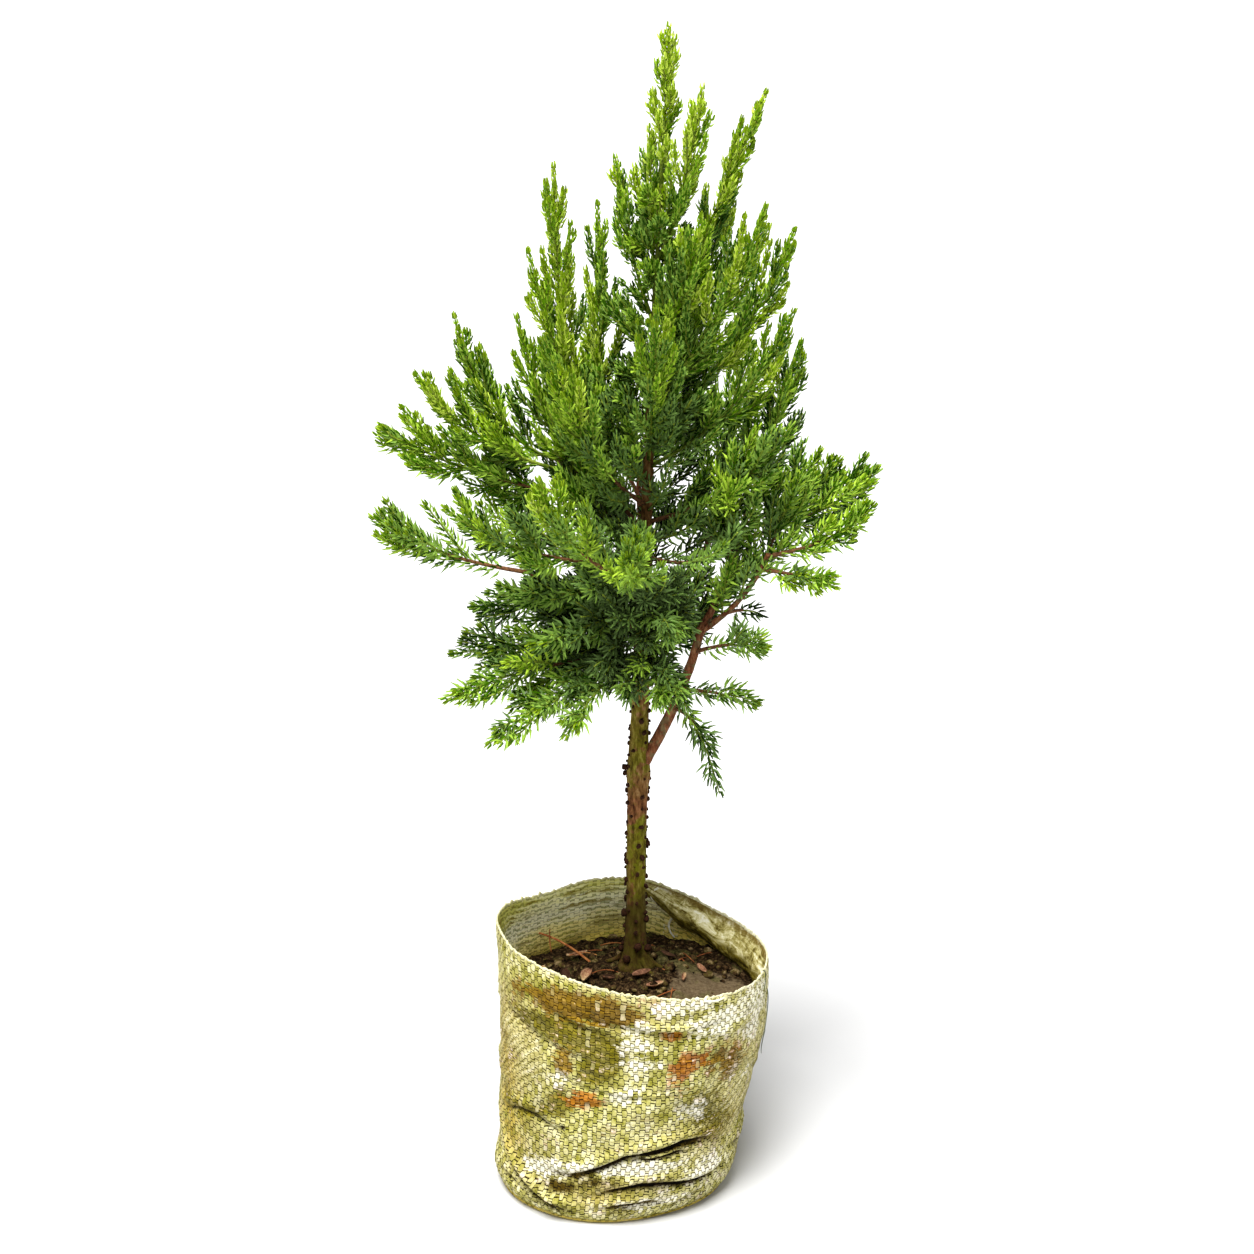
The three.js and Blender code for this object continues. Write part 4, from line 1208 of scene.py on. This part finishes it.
def flap(material):
    """The part of the rim that is folded in and hangs inside the bag, as a closed thin sheet."""
    azimuths = np.linspace(FLAP_EDGE[0][0], FLAP_EDGE[-1][0], FLAP_COLUMNS)
    angle = np.radians(azimuths)
    low = np.interp(azimuths, *zip(*FLAP_EDGE))
    high = mouth_height(angle) - 1.5
    ends = np.clip(np.minimum(azimuths - azimuths[0], azimuths[-1] - azimuths) / 14, 0, 1)
    downs = np.linspace(0, 1, FLAP_ROWS)
    shares = np.concatenate([downs, [1.0], downs[::-1]])
    lines = []
    for order, t in enumerate(shares):
        rough = [noise.noise(Vector((a / 7, t * 3, 2.0))) for a in azimuths]
        bulged = 7.5 * np.sin(math.pi * t**1.2) + 2.6 * t + 1.8 * np.array(rough) * t
        out = -(CLOTH + 0.6 + bulged * ends - 0.8 * (order > FLAP_ROWS))
        lines.append(bag_points(angle, mix(high, low, t), out))
    points = np.stack(lines, 1).reshape(-1, 3)
    faces = tube_faces(FLAP_COLUMNS, len(shares))
    made = mesh_piece("bag_flap", points, faces, [material], "woven_tape")
    point_values(made, "down", np.tile(shares, FLAP_COLUMNS))
    point_values(made, "along", np.repeat(azimuths / 90, len(shares)))


def flap_paint():
    paint = Paint("folded_rim", roughness=0.8, specular=0.05)
    down = paint.values("down")
    streaks = paint.noise(paint.pair(down, paint.values("along")), 5.0, 5.0, 0.7, 1.2)
    fine = paint.noise(paint.place(), 170, detail=5, roughness=0.7, distortion=1.0)
    level = paint.sum((streaks, 0.7), (fine, 0.5), (1.0, -0.1))
    worn = ((0.38, 84, 70, 20), (0.48, 172, 160, 92), (0.56, 226, 218, 164), (0.66, 252, 249, 228))
    rolled = ((0.38, 36, 28, 0), (0.48, 92, 80, 20), (0.56, 142, 128, 52), (0.66, 206, 192, 118))
    low = paint.step(paint.sum((down, 1.0), (fine, 0.3)), 0.58, 0.74)
    colour = paint.blend(low, paint.ramp(level, *worn), paint.ramp(level, *rolled))
    brim = paint.step(paint.sum((down, 1.0), (fine, 0.25)), 0.3, 0.14)
    colour = paint.blend(paint.times(brim, 0.8), colour, (104, 82, 30))
    paint.bump(streaks, 0.001, 0.9)
    return paint.finish(colour)


# The trunk and the limbs


def trunk_line(z):
    """The trunk's middle at a height."""
    share = max(0.0, z - FOOT_HEIGHT) / (TOP_HEIGHT - FOOT_HEIGHT)
    return Vector((mix(FOOT_X, TOP_X, share**TRUNK_SWEEP), FOOT_Y, z))


def trunk_radius(z):
    flare = FLARE_RADIUS * math.exp(-(z - FOOT_HEIGHT) / FLARE_HEIGHT)
    collar = COLLAR_RADIUS * math.exp(-(((z - COLLAR_HEIGHT) / COLLAR_SPREAD) ** 2))
    above = min(1, max(0, z - THINNING_AT) / (TRUNK_TOP - THINNING_AT))
    return mix(TRUNK_RADIUS, TRUNK_TOP_RADIUS, above**0.85) + flare + collar


def in_crown(azimuth, reach, height):
    """A place in the crown, from its azimuth and its distance from the crown's axis."""
    angle = math.radians(azimuth)
    share = (height - FOOT_HEIGHT) / (TOP_HEIGHT - FOOT_HEIGHT)
    axis = Vector((mix(FOOT_X, TOP_X, share), FOOT_Y, height))
    return axis + outwards(angle) * reach


def stem_curve(root, tip, sag):
    """A stem that sags below the straight line and turns up, or arches over if its sag is less than 0."""
    out = UPSWEPT if sag > 0 else ARCHING
    control = Vector((mix(root.x, tip.x, out), mix(root.y, tip.y, out), (root.z + tip.z) / 2 - sag))
    return Curve(root, control, tip)


def root_on(carrier, place, limbs):
    return trunk_line(place) if carrier == "trunk" else limbs[carrier].point(place)


def bark_relief(angle, along, radius, scale=1.0):
    """Fibrous ridges, flakes and broad swellings of bark, as a height above the plain limb."""
    x, y = math.cos(angle) * radius, math.sin(angle) * radius
    fibres = noise.noise(Vector((x / 1.3, y / 1.3, along / 15)))
    flakes = noise.noise(Vector((x / 3.2, y / 3.2, along / 6)))
    swell = noise.noise(Vector((x / 9, y / 9, along / 24 + 5)))
    return scale * (0.42 * fibres + 0.5 * max(0, flakes) + 0.55 * swell)


def bark_piece(node, rings, sides, material, slot):
    """A closed limb through rings: each a centre, two directions, a radius and the bark's relief."""
    points = []
    for centre, (u, v), radius, relief in rings:
        for i in range(sides):
            angle = i / sides * 2 * math.pi
            wide = radius + relief(angle)
            points.append(centre + (u * math.cos(angle) + v * math.sin(angle)) * wide)
    made = mesh_piece(node + "_bark", points, tube_faces(len(rings), sides), [material], slot)
    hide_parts(node)


def trunk_paint():
    """Olive and brown bark with moss, a scar over a red ring, a dark foot and a green top, and browner on its
    left side, where the light falls: painted light. Its heights are in metres, as the mesh's are."""
    paint = Paint("bark", roughness=0.85, specular=0.06)
    place = paint.place()
    sidewards, height = paint.axis(place, 0), paint.axis(place, 2)
    fibres = paint.noise(paint.stretched(place, (1, 1, 0.34)), 420, detail=5, roughness=0.65)
    broad = paint.noise(place, 70, detail=4)
    patches = paint.noise(place, 130, detail=3)
    wavy = paint.line(patches, 0.03, height)

    def between(low, full, ending, end):
        return paint.times(paint.step(wavy, low, full), paint.step(wavy, end, ending))

    upper = paint.step(paint.line(broad, 0.09, height), 0.36, 0.42)
    scar = paint.times(between(0.268, 0.274, 0.303, 0.311), paint.step(patches, 0.36, 0.46))
    # Painted light: browner on the trunk's left, the side the light falls on.
    left = paint.times(paint.step(paint.line(broad, -0.012, sidewards), 0.011, 0.001), 0.45)
    browned = paint.most(paint.most(paint.most(upper, scar), left), paint.step(patches, 0.56, 0.62))
    olive = paint.ramp(fibres, (0.3, 52, 44, 6), (0.5, 98, 90, 20), (0.75, 154, 146, 66))
    brown = paint.ramp(fibres, (0.3, 56, 34, 14), (0.5, 114, 80, 42), (0.75, 166, 134, 90))
    colour = paint.blend(browned, olive, brown)

    moss = paint.step(paint.noise(place, 230, detail=3), 0.5, 0.58)
    moss = paint.times(paint.times(moss, paint.step(height, 0.27, 0.25)), 0.55)
    colour = paint.blend(moss, colour, (110, 114, 18))
    red = paint.ramp(fibres, (0.35, 58, 26, 14), (0.65, 140, 88, 56))
    colour = paint.blend(paint.times(between(0.269, 0.274, 0.286, 0.291), 0.7), colour, red)
    young = paint.ramp(fibres, (0.3, 70, 84, 24), (0.7, 122, 132, 52))
    colour = paint.blend(paint.step(height, 0.52, 0.64), colour, young)
    colour = paint.blend(paint.times(paint.step(wavy, 0.226, 0.208), 0.75), colour, (50, 34, 14))
    paint.bump(paint.math("ADD", fibres, patches), 0.0008, 0.7)
    return paint.finish(colour)


def bough_paint():
    paint = Paint("bough_bark", roughness=0.8, specular=0.08)
    place = paint.place()
    fibres = paint.noise(paint.stretched(place, (1, 1, 0.3)), 500, detail=5, roughness=0.65)
    patches = paint.noise(place, 160, detail=3)
    red = paint.ramp(fibres, (0.3, 58, 28, 16), (0.5, 112, 66, 40), (0.75, 166, 118, 82))
    tan = paint.ramp(fibres, (0.3, 62, 46, 26), (0.7, 132, 112, 76))
    colour = paint.blend(paint.step(patches, 0.5, 0.62), red, tan)
    paint.bump(paint.math("ADD", fibres, patches), 0.0006, 0.7)
    return paint.finish(colour)


def trunk(material):
    low = np.arange(FOOT_HEIGHT - 3, TRUNK_FINE_TOP, 1.5)
    heights = np.concatenate([low, np.arange(TRUNK_FINE_TOP, TRUNK_TOP, 4), [TRUNK_TOP]])

    def ring(z):
        radius = trunk_radius(max(z, FOOT_HEIGHT))
        buttress = 1.8 * math.exp(-max(0, z - FOOT_HEIGHT) / 14)

        def relief(angle):
            rough = bark_relief(angle, z, radius, min(1, radius / 5))
            return rough + buttress * math.cos(3 * angle + 0.7) - 0.3

        return trunk_line(z), (Vector((1, 0, 0)), Vector((0, 1, 0))), radius, relief

    bark_piece("trunk", [ring(z) for z in heights], TRUNK_SIDES, material, "bark")


def limb(name, curve, radius, tip_radius, material):
    length = curve.length()
    steps = max(12, round(length / 1.6))

    def ring(t):
        wide = mix(radius, tip_radius, t) + 1.6 * math.exp(-t * length / 6) * radius / 4.3

        def relief(angle):
            return bark_relief(angle, t * length + radius * 40, wide, min(1, wide / 4.5)) - 0.2

        return curve.point(t), curve.across(t), wide, relief

    bark_piece(name, [ring(i / steps) for i in range(steps + 1)], LIMB_SIDES, material, "bough_bark")


def knob(z, turn, rise, lift, radius, rng):
    """A small blunt leaf scar or stub that stands out of the trunk's bark."""
    out = outwards(turn, rise).normalized()
    centre = trunk_line(z) + out * (trunk_radius(z) + lift)
    side = out.cross(UP).normalized()
    up = side.cross(out)
    points = []
    tall = rng.uniform(0.65, 1.3)
    for far, wide in ((-0.5, 1.0), (0.55, 1.1), (1.0, 0.8)):
        for i in range(6):
            turn = i / 6 * 2 * math.pi
            reach = radius * wide * rng.uniform(0.7, 1.2)
            spread = side * math.cos(turn) * reach + up * math.sin(turn) * reach * tall
            points.append(centre + out * (far * radius) + spread)
    points.append(centre + out * (1.12 * radius))
    return points, pointed_faces(3, 6)


def knobs(material):
    rng = np.random.default_rng(KNOB_SEED)
    parts = []
    for k in range(KNOBS):
        z = mix(FOOT_HEIGHT + 6, KNOBS_TOP, (k + rng.uniform(0, 1)) / KNOBS)
        turn = math.radians(k * GOLDEN_ANGLE + rng.uniform(-30, 30))
        turn -= 0.3 * math.sin(2 * turn)
        parts.append(knob(z, turn, 0.25, -0.2, rng.uniform(*KNOB_RADIUS), rng))
    mesh_piece("bark_knobs", *joined(parts), [material], "bark")


# Each root leg at the trunk's foot: its azimuth, how far it reaches and its radius.
ROOT_LEGS = [
    (-150, 15, 2.4), (-100, 13, 2.0), (-55, 17, 2.6), (-12, 19, 2.4), (40, 15, 2.2), (110, 16, 2.4),
    (165, 17, 2.8),
]
# Each dark stub on the trunk: its height, azimuth and radius.
STUBS = [
    (293, -168, 2.6), (288, -176, 1.8), (184, -165, 2.4), (180, -20, 2.2), (161, -78, 3.0),
    (157, -170, 2.2), (158, -24, 2.6), (152, -120, 2.6), (153, 60, 2.4), (222, 150, 1.9),
    (236, -8, 1.9),
]


def root_legs(material):
    def ground(out, reach, share, lift):
        return soil_at(FOOT_X + out.x * reach * share, FOOT_Y + out.y * reach * share) + UP * lift

    legs = []
    for azimuth, reach, radius in ROOT_LEGS:
        out = outwards(math.radians(azimuth))
        start = trunk_line(FOOT_HEIGHT + 11) + out * 4.5
        low, tip = ground(out, reach, 0.55, 1.5), ground(out, reach, 1.25, -1.5)
        legs.append(Twig(Curve(start, low, tip), radius, radius * 0.45))
    mesh_piece("root_legs", *twig_tubes(legs, sides=10, steps=12), [material], "bark")


def stubs(material):
    rng = np.random.default_rng(STUB_SEED)
    parts = []
    for z, azimuth, radius in STUBS:
        parts.append(knob(z, math.radians(azimuth), 0.2, 0.2 * radius, radius, rng))
    mesh_piece("bark_stubs", *joined(parts), [material], "bark")


def knob_paint():
    return grained("dark_knobs", 0.8, 0.06, 800, 3, (0.3, 18, 10, 4), (0.7, 66, 38, 24))


# The twigs and needles


class Rule:
    """How side shoots leave a stem: between which shares of it, at what angles, how far they turn up,
    how much of the stem's rest they may reach and how much their lengths vary."""

    def __init__(
        self,
        between=(FIRST_SHOOT, LAST_SHOOT),
        angles=SHOOT_ANGLES,
        rise=SHOOT_RISE,
        limit=SHOOT_LIMIT,
        lengths=SHOOT_LENGTHS,
    ):
        self.between, self.angles, self.rise = between, angles, rise
        self.limit, self.lengths = limit, lengths

    def shoots(self, stem, spread, count, seed):
        """The side shoots: a golden-angle spiral, longest near the foot, each turning up."""
        draw = seeded(seed)
        turn0 = draw() * 360
        stem_length = stem.length()
        found = []
        for k in range(count):
            share = (k + 0.5) / count
            at = mix(*self.between, share)
            root, along = stem.point(at), stem.tangent(at)
            u, v = stem.across(at)
            turn = math.radians(turn0 + k * GOLDEN_ANGLE + (draw() - 0.5) * 30)
            out = u * math.cos(turn) + v * math.sin(turn)
            lean = math.radians(mix(*self.angles, share))
            full = (spread / math.sin(lean)) * mix(1, 0.6, share) * mix(*self.lengths, draw())
            length = min(full, (1 - at) * stem_length * self.limit)
            heading = along * math.cos(lean) + out * math.sin(lean)
            bend = (along + UP * self.rise).normalized()
            middle = root + heading * length * 0.5
            tip = root + heading * length * (1 - SHOOT_BEND) + bend * length * SHOOT_BEND
            found.append(Curve(root, middle, tip))
        return found


def crown_height(z):
    """0 where the needles are long and loose, 1 where they are short and dense."""
    return min(1, max(0, (z - CROWN_LOW) / (CROWN_HIGH - CROWN_LOW)))


def outerness(point):
    """How far out in the crown a point lies: 0 at the trunk and 1 at the outline."""
    heights, reaches = zip(*ENVELOPE)
    reach = np.interp(point.z, heights, reaches)
    return min(1.2, (point - in_crown(0, 0, point.z)).length / reach)


# Where the crown is open to the sky behind it: each gap's middle and half sizes, across and up, in the
# trunk's own plane as the viewer sees it.
SKY_GAPS = [
    (49, 449, 28, 13), (12, 496, 7, 14), (39, 500, 11, 19), (-36, 436, 9, 6), (76, 568, 11, 9),
    (9, 637, 5, 15), (98, 424, 10, 11), (90, 403, 8, 8), (70, 372, 12, 16), (-93, 430, 10, 10),
    (-114, 471, 14, 9), (-97, 369, 13, 9), (-15, 338, 8, 9), (-57, 330, 8, 7),
]
GAP_MARGIN = 2.5


def in_sky_gap(point):
    """Whether a point stands in the viewer's line to one of the gaps."""
    x0, y0, z0 = (value / MM for value in CAMERA_AT)
    reach = (FOOT_Y - y0) / (point.y - y0)
    across, up = x0 + (point.x - x0) * reach, z0 + (point.z - z0) * reach
    for x, z, wide, tall in SKY_GAPS:
        if math.hypot((across - x) / (wide + GAP_MARGIN), (up - z) / (tall + GAP_MARGIN)) < 1:
            return True
    return False


def shut_out(curve):
    """Whether a twig would close a gap."""
    return sum(in_sky_gap(curve.point(t)) for t in (0.4, 0.7, 1.0)) > 1


class Growth:
    """All the twigs of the crown."""

    def __init__(self):
        self.twigs = []
        self.chance = np.random.default_rng(CROWN_SEED)

    def add(self, *parts):
        self.twigs.append(Twig(*parts))

    def shoot(self, curve, seed, tone, rise=SHOOT_RISE):
        """A side shoot with its own twiglets."""
        if curve.length() < SHORTEST_SHOOT:
            return
        own = min(1, max(0, tone + self.chance.uniform(-0.6, 0.65)))
        if shut_out(curve):
            return
        self.add(curve, SHOOT_RADIUS, TWIGLET_RADIUS, 0.06, own)
        self.twiglets(curve, seed, own, rise)

    def twiglets(self, curve, seed, tone, rise, between=(0.14, 0.76)):
        high = crown_height(curve.tip.z)
        count = round(curve.length() * (between[1] - between[0]) / mix(*TWIGLET_SPACING, high) * 1.3)
        angles = (mix(50, 38, high), mix(36, 24, high))
        rule = Rule(between, angles, rise * 0.5, lengths=(0.6, 1.15))
        for twiglet in rule.shoots(curve, mix(16.0, 6.2, high), count, seed + TWIGLET_SEED):
            if twiglet.length() > 3 and not shut_out(twiglet):
                self.add(twiglet, TWIGLET_RADIUS, 0.45, 0.05, tone)

    def inner_stem(self, z, azimuth, reach, rise, seed):
        """A short stem from the trunk at a height, with its shoots."""
        stem = stem_curve(trunk_line(z), in_crown(azimuth, reach, z + rise), 4 if rise > 0 else -6)
        # Painted shade: the stem's low tone gives it the crown's darker greens.
        self.add(stem, SHOOT_RADIUS, 0.5, 0.2, 0.1)
        rule = Rule((0.2, 0.8), rise=shoot_rise(stem))
        for order, shoot in enumerate(rule.shoots(stem, 18, max(5, round(reach / 11)), seed)):
            # Their low tone too is painted shade in the crown's middle.
            self.shoot(shoot, INNER_SHOOT_SEED + seed * INNER_SEED_STEP + order, 0.15, rule.rise)


def shoot_rise(stem):
    """How far the shoots of a stem turn up: the more, the steeper it climbs."""
    chord = stem.tip - stem.root
    climb = chord.z / math.hypot(chord.x, chord.y) / STEEP_CLIMB
    return mix(FLAT_RISE, SHOOT_RISE, min(1, max(0, climb)))


def grow_mass(growth, number, stem, spread, count, thin):
    """One mass: its stem, the frame's own shoots and, if it isn't thin, finer ones all the way along."""
    rise = shoot_rise(stem)
    # Stems that climb get a higher tone and lighter greens, drooping ones darker: partly painted light above
    # and painted shade under the crown.
    tone = growth.chance.uniform(0.1, 0.5) + 0.2 * rise
    growth.add(stem.part(0, WOODY), 1.7, 1.05, 0.3, tone)
    growth.add(stem.part(WOODY, 1), SHOOT_RADIUS, 0.5, 0, tone)
    shoots = Rule(rise=rise).shoots(stem, spread, count, number + 1)
    if not thin:
        finer = Rule((0.08, 0.88), (44, 24), rise, limit=0.72, lengths=(0.55, 1.0))
        more = round(stem.length() / mix(*FINE_SPACING, crown_height(stem.tip.z)))
        shoots += finer.shoots(stem, spread * 1.15, more, number + FINE_SEED)
    for order, shoot in enumerate(shoots):
        growth.shoot(shoot, number * SEED_STEP + order, tone, rise)
    between = (0.3 if thin else 0.66, 0.93)
    growth.twiglets(stem, (number + 1) * SEED_STEP - 1, tone, rise, between)


def grow_crown(limbs):
    """Every stem, shoot and twiglet of the crown."""
    growth = Growth()
    for number, (name, carrier, place, azimuth, reach, height, spread, sag, count) in enumerate(MASSES):
        stem = stem_curve(root_on(carrier, place, limbs), in_crown(azimuth, reach, height), sag)
        grow_mass(growth, number, stem, spread, count, name.startswith("twig"))
    rule = Rule((0.12, 0.98), rise=0.6)
    for number, (name, curve) in enumerate(limbs.items()):
        if name == "bough_right":
            continue
        count = round(curve.length() / LIMB_SPACING)
        for order, shoot in enumerate(rule.shoots(curve, 34, count, LIMB_SEED + number)):
            growth.shoot(shoot, 10 * LIMB_SEED + number * SEED_STEP + order, 0.3)
    grow_inside(growth)
    return growth


def grow_inside(growth):
    """Short stems straight from the trunk, which fill the crown's shaded middle and its low left."""
    chance = growth.chance
    for k in range(INNER_STEMS):
        share = k / INNER_STEMS
        reach = mix(66, 16, share) * chance.uniform(0.7, 1.1)
        rise = reach * chance.uniform(0.3, 1.1)
        growth.inner_stem(mix(384, 690, share), k * GOLDEN_ANGLE, reach, rise, INNER_SEED + k)
    for k in range(LEFT_STEMS):
        azimuth = mix(90, 310, (k * 0.382) % 1)
        reach = mix(60, 105, chance.uniform(0, 1)) * mix(1, 0.7, abs(azimuth - 200) / 110)
        rise = reach * chance.uniform(-0.3, 0.2)
        growth.inner_stem(mix(372, 440, k / LEFT_STEMS), azimuth, reach, rise, LEFT_SEED + k)


def needle_whorls(twigs, seed):
    """Needles in whorls: for each its twig, the share of that, and its own turn, lean and length."""
    rng = np.random.default_rng(seed)
    lengths = np.array([twig.curve.length(6) for twig in twigs])
    bare = np.array([twig.bare for twig in twigs])
    high = np.array([twig.high for twig in twigs])
    whorls = np.maximum(2, (lengths * (1 - bare) / mix(*WHORL_SPACING, high)).astype(int))
    number = np.repeat(np.arange(len(twigs)), whorls)
    order = np.arange(len(number)) - np.repeat(np.cumsum(whorls) - whorls, whorls)
    share = (order + 0.6) / whorls[number]
    turn = rng.uniform(0, 2 * math.pi, len(twigs))[number] + order * math.pi / 3
    in_whorl = np.tile(np.arange(WHORL_NEEDLES), len(turn)) * 2 * math.pi / 3
    number, share, turn = (np.repeat(values, WHORL_NEEDLES) for values in (number, share, turn))
    turn = turn + in_whorl + rng.normal(0, 0.22, len(turn))
    high, bare = high[number], bare[number]
    lean = mix(mix(*NEEDLE_ANGLE, high), mix(*NEEDLE_TIP_ANGLE, high), share**1.4)
    lean = np.radians(lean + rng.normal(0, 5, len(turn)))
    shorter = 1 - mix(0.5, 0.36, high) * share**2
    length = mix(*NEEDLE_LENGTH, high) * rng.uniform(0.8, 1.12, len(turn)) * shorter
    length *= np.minimum(1, 0.6 + lengths[number] / 30)
    return number, bare + share * (1 - bare), turn, lean, length


def tip_tufts(twigs, seed):
    """The close needles that end each twig, told in the same way."""
    rng = np.random.default_rng(seed)
    number = np.repeat(np.arange(len(twigs)), TUFT_NEEDLES)
    turn = np.tile(np.arange(TUFT_NEEDLES), len(twigs)) * 2 * math.pi / TUFT_NEEDLES
    turn = turn + rng.normal(0, 0.3, len(number))
    high = np.array([twig.high for twig in twigs])[number]
    lean = np.radians(mix(26, 13, high) + rng.normal(0, 4, len(number)))
    length = TUFT_LENGTH * rng.uniform(0.75, 1.1, len(number))
    return number, np.full(len(number), 0.985), turn, lean, length


def needle_points(twigs, whorls):
    """Needles on many twigs, five points to each: its base, left, right and the blunt end's two."""
    number, t, turn, lean, length = whorls
    sizes = np.array([(twig.radius, twig.tip_radius) for twig in twigs])
    wide, narrow = sizes[number].T
    centre, along, u, v = frames_along(curve_arrays(twigs)[:, number], t)
    out = u * np.cos(turn)[:, None] + v * np.sin(turn)[:, None]
    heading = along * np.cos(lean)[:, None] + out * np.sin(lean)[:, None]
    length = length[:, None]
    base = centre + out * (mix(wide, narrow, t) - 0.3)[:, None]
    upper = unit(along - heading * (along * heading).sum(-1, keepdims=True))
    side = np.cross(heading, upper)
    middle = base + heading * length * NEEDLE_WIDEST - upper * NEEDLE_WIDTH * NEEDLE_DEPTH
    tip = base + heading * length * 0.95 + along * length * 0.14
    half = side * NEEDLE_WIDTH / 2
    end = half * NEEDLE_BLUNT
    return np.stack([base, middle + half, middle - half, tip + end, tip - end], 1).reshape(-1, 3)


NEEDLE_FACES = np.array([[0, 2, 1], [1, 2, 4], [1, 4, 3], [0, 1, 3], [0, 3, 4], [0, 4, 2]])
NEEDLE_SIDES = [0, 0, 0, 1, 1, 1]  # the back first, then the inner face
# Each green: the colour of a needle's back, partly painted shade, and of its inner face, partly its own pale
# bands and partly a painted highlight where it faces up to the light. They are ordered from the shaded middle
# of the crown to its sunlit rim, darker inside as painted shade and lighter outside as painted light over the
# young growth's own lighter green. The last is the tint of the tufts at the shoots' tips, partly their own
# olive and partly painted shade where the needles cluster.
GREENS = [
    ("shade", (12, 24, 0), (80, 102, 52)),
    ("deep", (22, 44, 0), (104, 134, 64)),
    ("grass", (36, 70, 0), (128, 162, 66)),
    ("leaf", (54, 94, 0), (146, 180, 62)),
    ("fresh", (78, 116, 0), (164, 196, 58)),
    ("lime", (108, 140, 0), (192, 214, 80)),
]
# The tufts' darker olive is partly their own tint and partly painted shade where the needles cluster.
TUFT = ("tuft", (84, 110, 0), (136, 162, 30))


def green_of(twig):
    """Which green a twig's spray has: lighter far out, high up and by chance. Far out and high up the lighter
    green is partly the young growth's own and partly painted light; in the middle the darker green is painted
    shade.
    """
    tip = twig.curve.tip
    outer = max(outerness(tip), 0.75 * smooth(500, 600, tip.z))
    # Painted light and shade: greens rise with height and with how far out the spray is.
    value = 0.16 * twig.high + 0.3 * outer + 0.52 * twig.tone + 0.3 * smooth(670, 760, tip.z)
    return min(len(GREENS) - 1, int(value * len(GREENS)))


def needle_paint(name, colour):
    return Paint("needle_" + name, roughness=0.5, specular=0.07).finish(colour)


def needle_piece(green, points, masses):
    name, back, face = green
    count = len(points) // 5
    faces = (NEEDLE_FACES[None] + 5 * np.arange(count)[:, None, None]).reshape(-1, 3).tolist()
    # The back's colour is partly painted shade and the inner face's partly a painted highlight.
    paints = [needle_paint(name, back), needle_paint(name + "_face", face)]
    made = mesh_piece("needles_" + name, points, faces, paints, "needles", shade_smooth=False)
    made.data.polygons.foreach_set("material_index", np.tile(NEEDLE_SIDES, count))
    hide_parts(*masses)


def foliage(growth):
    """The twigs, brown and green, and the needles, a piece to each green and one of tufts."""
    masses = ["needles_" + row[0] for row in MASSES]
    brown = [twig for twig in growth.twigs if twig.radius > WOODY_RADIUS and twig.high < 0.5]
    green = [twig for twig in growth.twigs if twig.radius < WOODY_RADIUS or twig.high >= 0.5]
    made = mesh_piece("twigs_brown", *twig_tubes(brown, 5, 8), [stem_paint()], "bough_bark")
    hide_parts(*masses)
    made = mesh_piece("twigs_green", *twig_tubes(green, 3, 3), [twig_paint()], "needles")
    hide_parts(*masses)
    for index, kind in enumerate(GREENS):
        twigs = [twig for twig in growth.twigs if green_of(twig) == index]
        needle_piece(kind, needle_points(twigs, needle_whorls(twigs, NEEDLE_SEED + index)), masses)
    outer = [twig for twig in growth.twigs if outerness(twig.curve.tip) > TUFT_FROM]
    needle_piece(TUFT, needle_points(outer, tip_tufts(outer, TUFT_SEED)), masses)


def stem_paint():
    return grained("brown_twig", 0.8, 0.2, 500, 4, (0.3, 70, 40, 24), (0.7, 128, 88, 52))


def twig_paint():
    return grained("green_twig", 0.7, 0.25, 300, 3, (0.35, 92, 118, 20), (0.65, 142, 156, 48))


# The stage, the light and the camera


def stage():
    """The round pale floor, whose rim turns up."""
    turns = [i / FLOOR_SIDES * 2 * math.pi for i in range(FLOOR_SIDES)]
    points = [outwards(turn) * reach + UP * z for reach, z in FLOOR_PROFILE for turn in turns]
    rings = ring_faces(len(FLOOR_PROFILE), FLOOR_SIDES)
    mesh = bpy.data.meshes.new("floor")
    mesh.from_pydata(points, [], [list(range(FLOOR_SIDES)), *turned(rings)])
    mesh.materials.append(Paint("floor", roughness=1.0, specular=0.0).finish(FLOOR_COLOUR))
    floor = linked("floor", mesh)


def light():
    """Even light from all sides and one soft light from above."""
    world = bpy.data.worlds.new("studio")
    bpy.context.scene.world = world
    world.use_nodes = True
    inputs = world.node_tree.nodes["Background"].inputs
    inputs["Color"].default_value = (1, 1, 1, 1)
    inputs["Strength"].default_value = WORLD_LIGHT
    key = bpy.data.lights.new("key", "SUN")
    key.energy = KEY_LIGHT
    key.angle = math.radians(KEY_SOFTNESS)
    linked("key", key).rotation_euler = Vector(KEY_HEADING).to_track_quat("-Z", "Y").to_euler()


def camera():
    data = bpy.data.cameras.new("camera")
    data.sensor_width = SENSOR_WIDTH
    data.lens = FOCAL_PIXELS / IMAGE_PIXELS * SENSOR_WIDTH
    made = linked("camera", data)
    made.location = CAMERA_AT
    made.rotation_euler = (math.radians(90 - CAMERA_PITCH), 0, 0)
    bpy.context.scene.camera = made
    bpy.context.scene.view_settings.view_transform = "Standard"


def main():
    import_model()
    camera()
    stage()
    light()
    bag(cloth_paint())
    flap(flap_paint())
    soil(soil_paint())
    crumbs(crumb_paint())
    dead_leaves(leaf_paint())
    stalks_and_threads(stalk_paint(), thread_paint())
    bark_material = trunk_paint()
    trunk(bark_material)
    dark = knob_paint()
    knobs(dark)
    stubs(dark)
    root_legs(bark_material)
    limbs = {}
    bark = bough_paint()
    for name, carrier, place, azimuth, reach, height, radius, tip_radius, sag in LIMBS:
        curve = stem_curve(root_on(carrier, place, limbs), in_crown(azimuth, reach, height), sag)
        limbs[name] = curve
        limb(name, curve, radius, tip_radius, bark)
    foliage(grow_crown(limbs))


main()
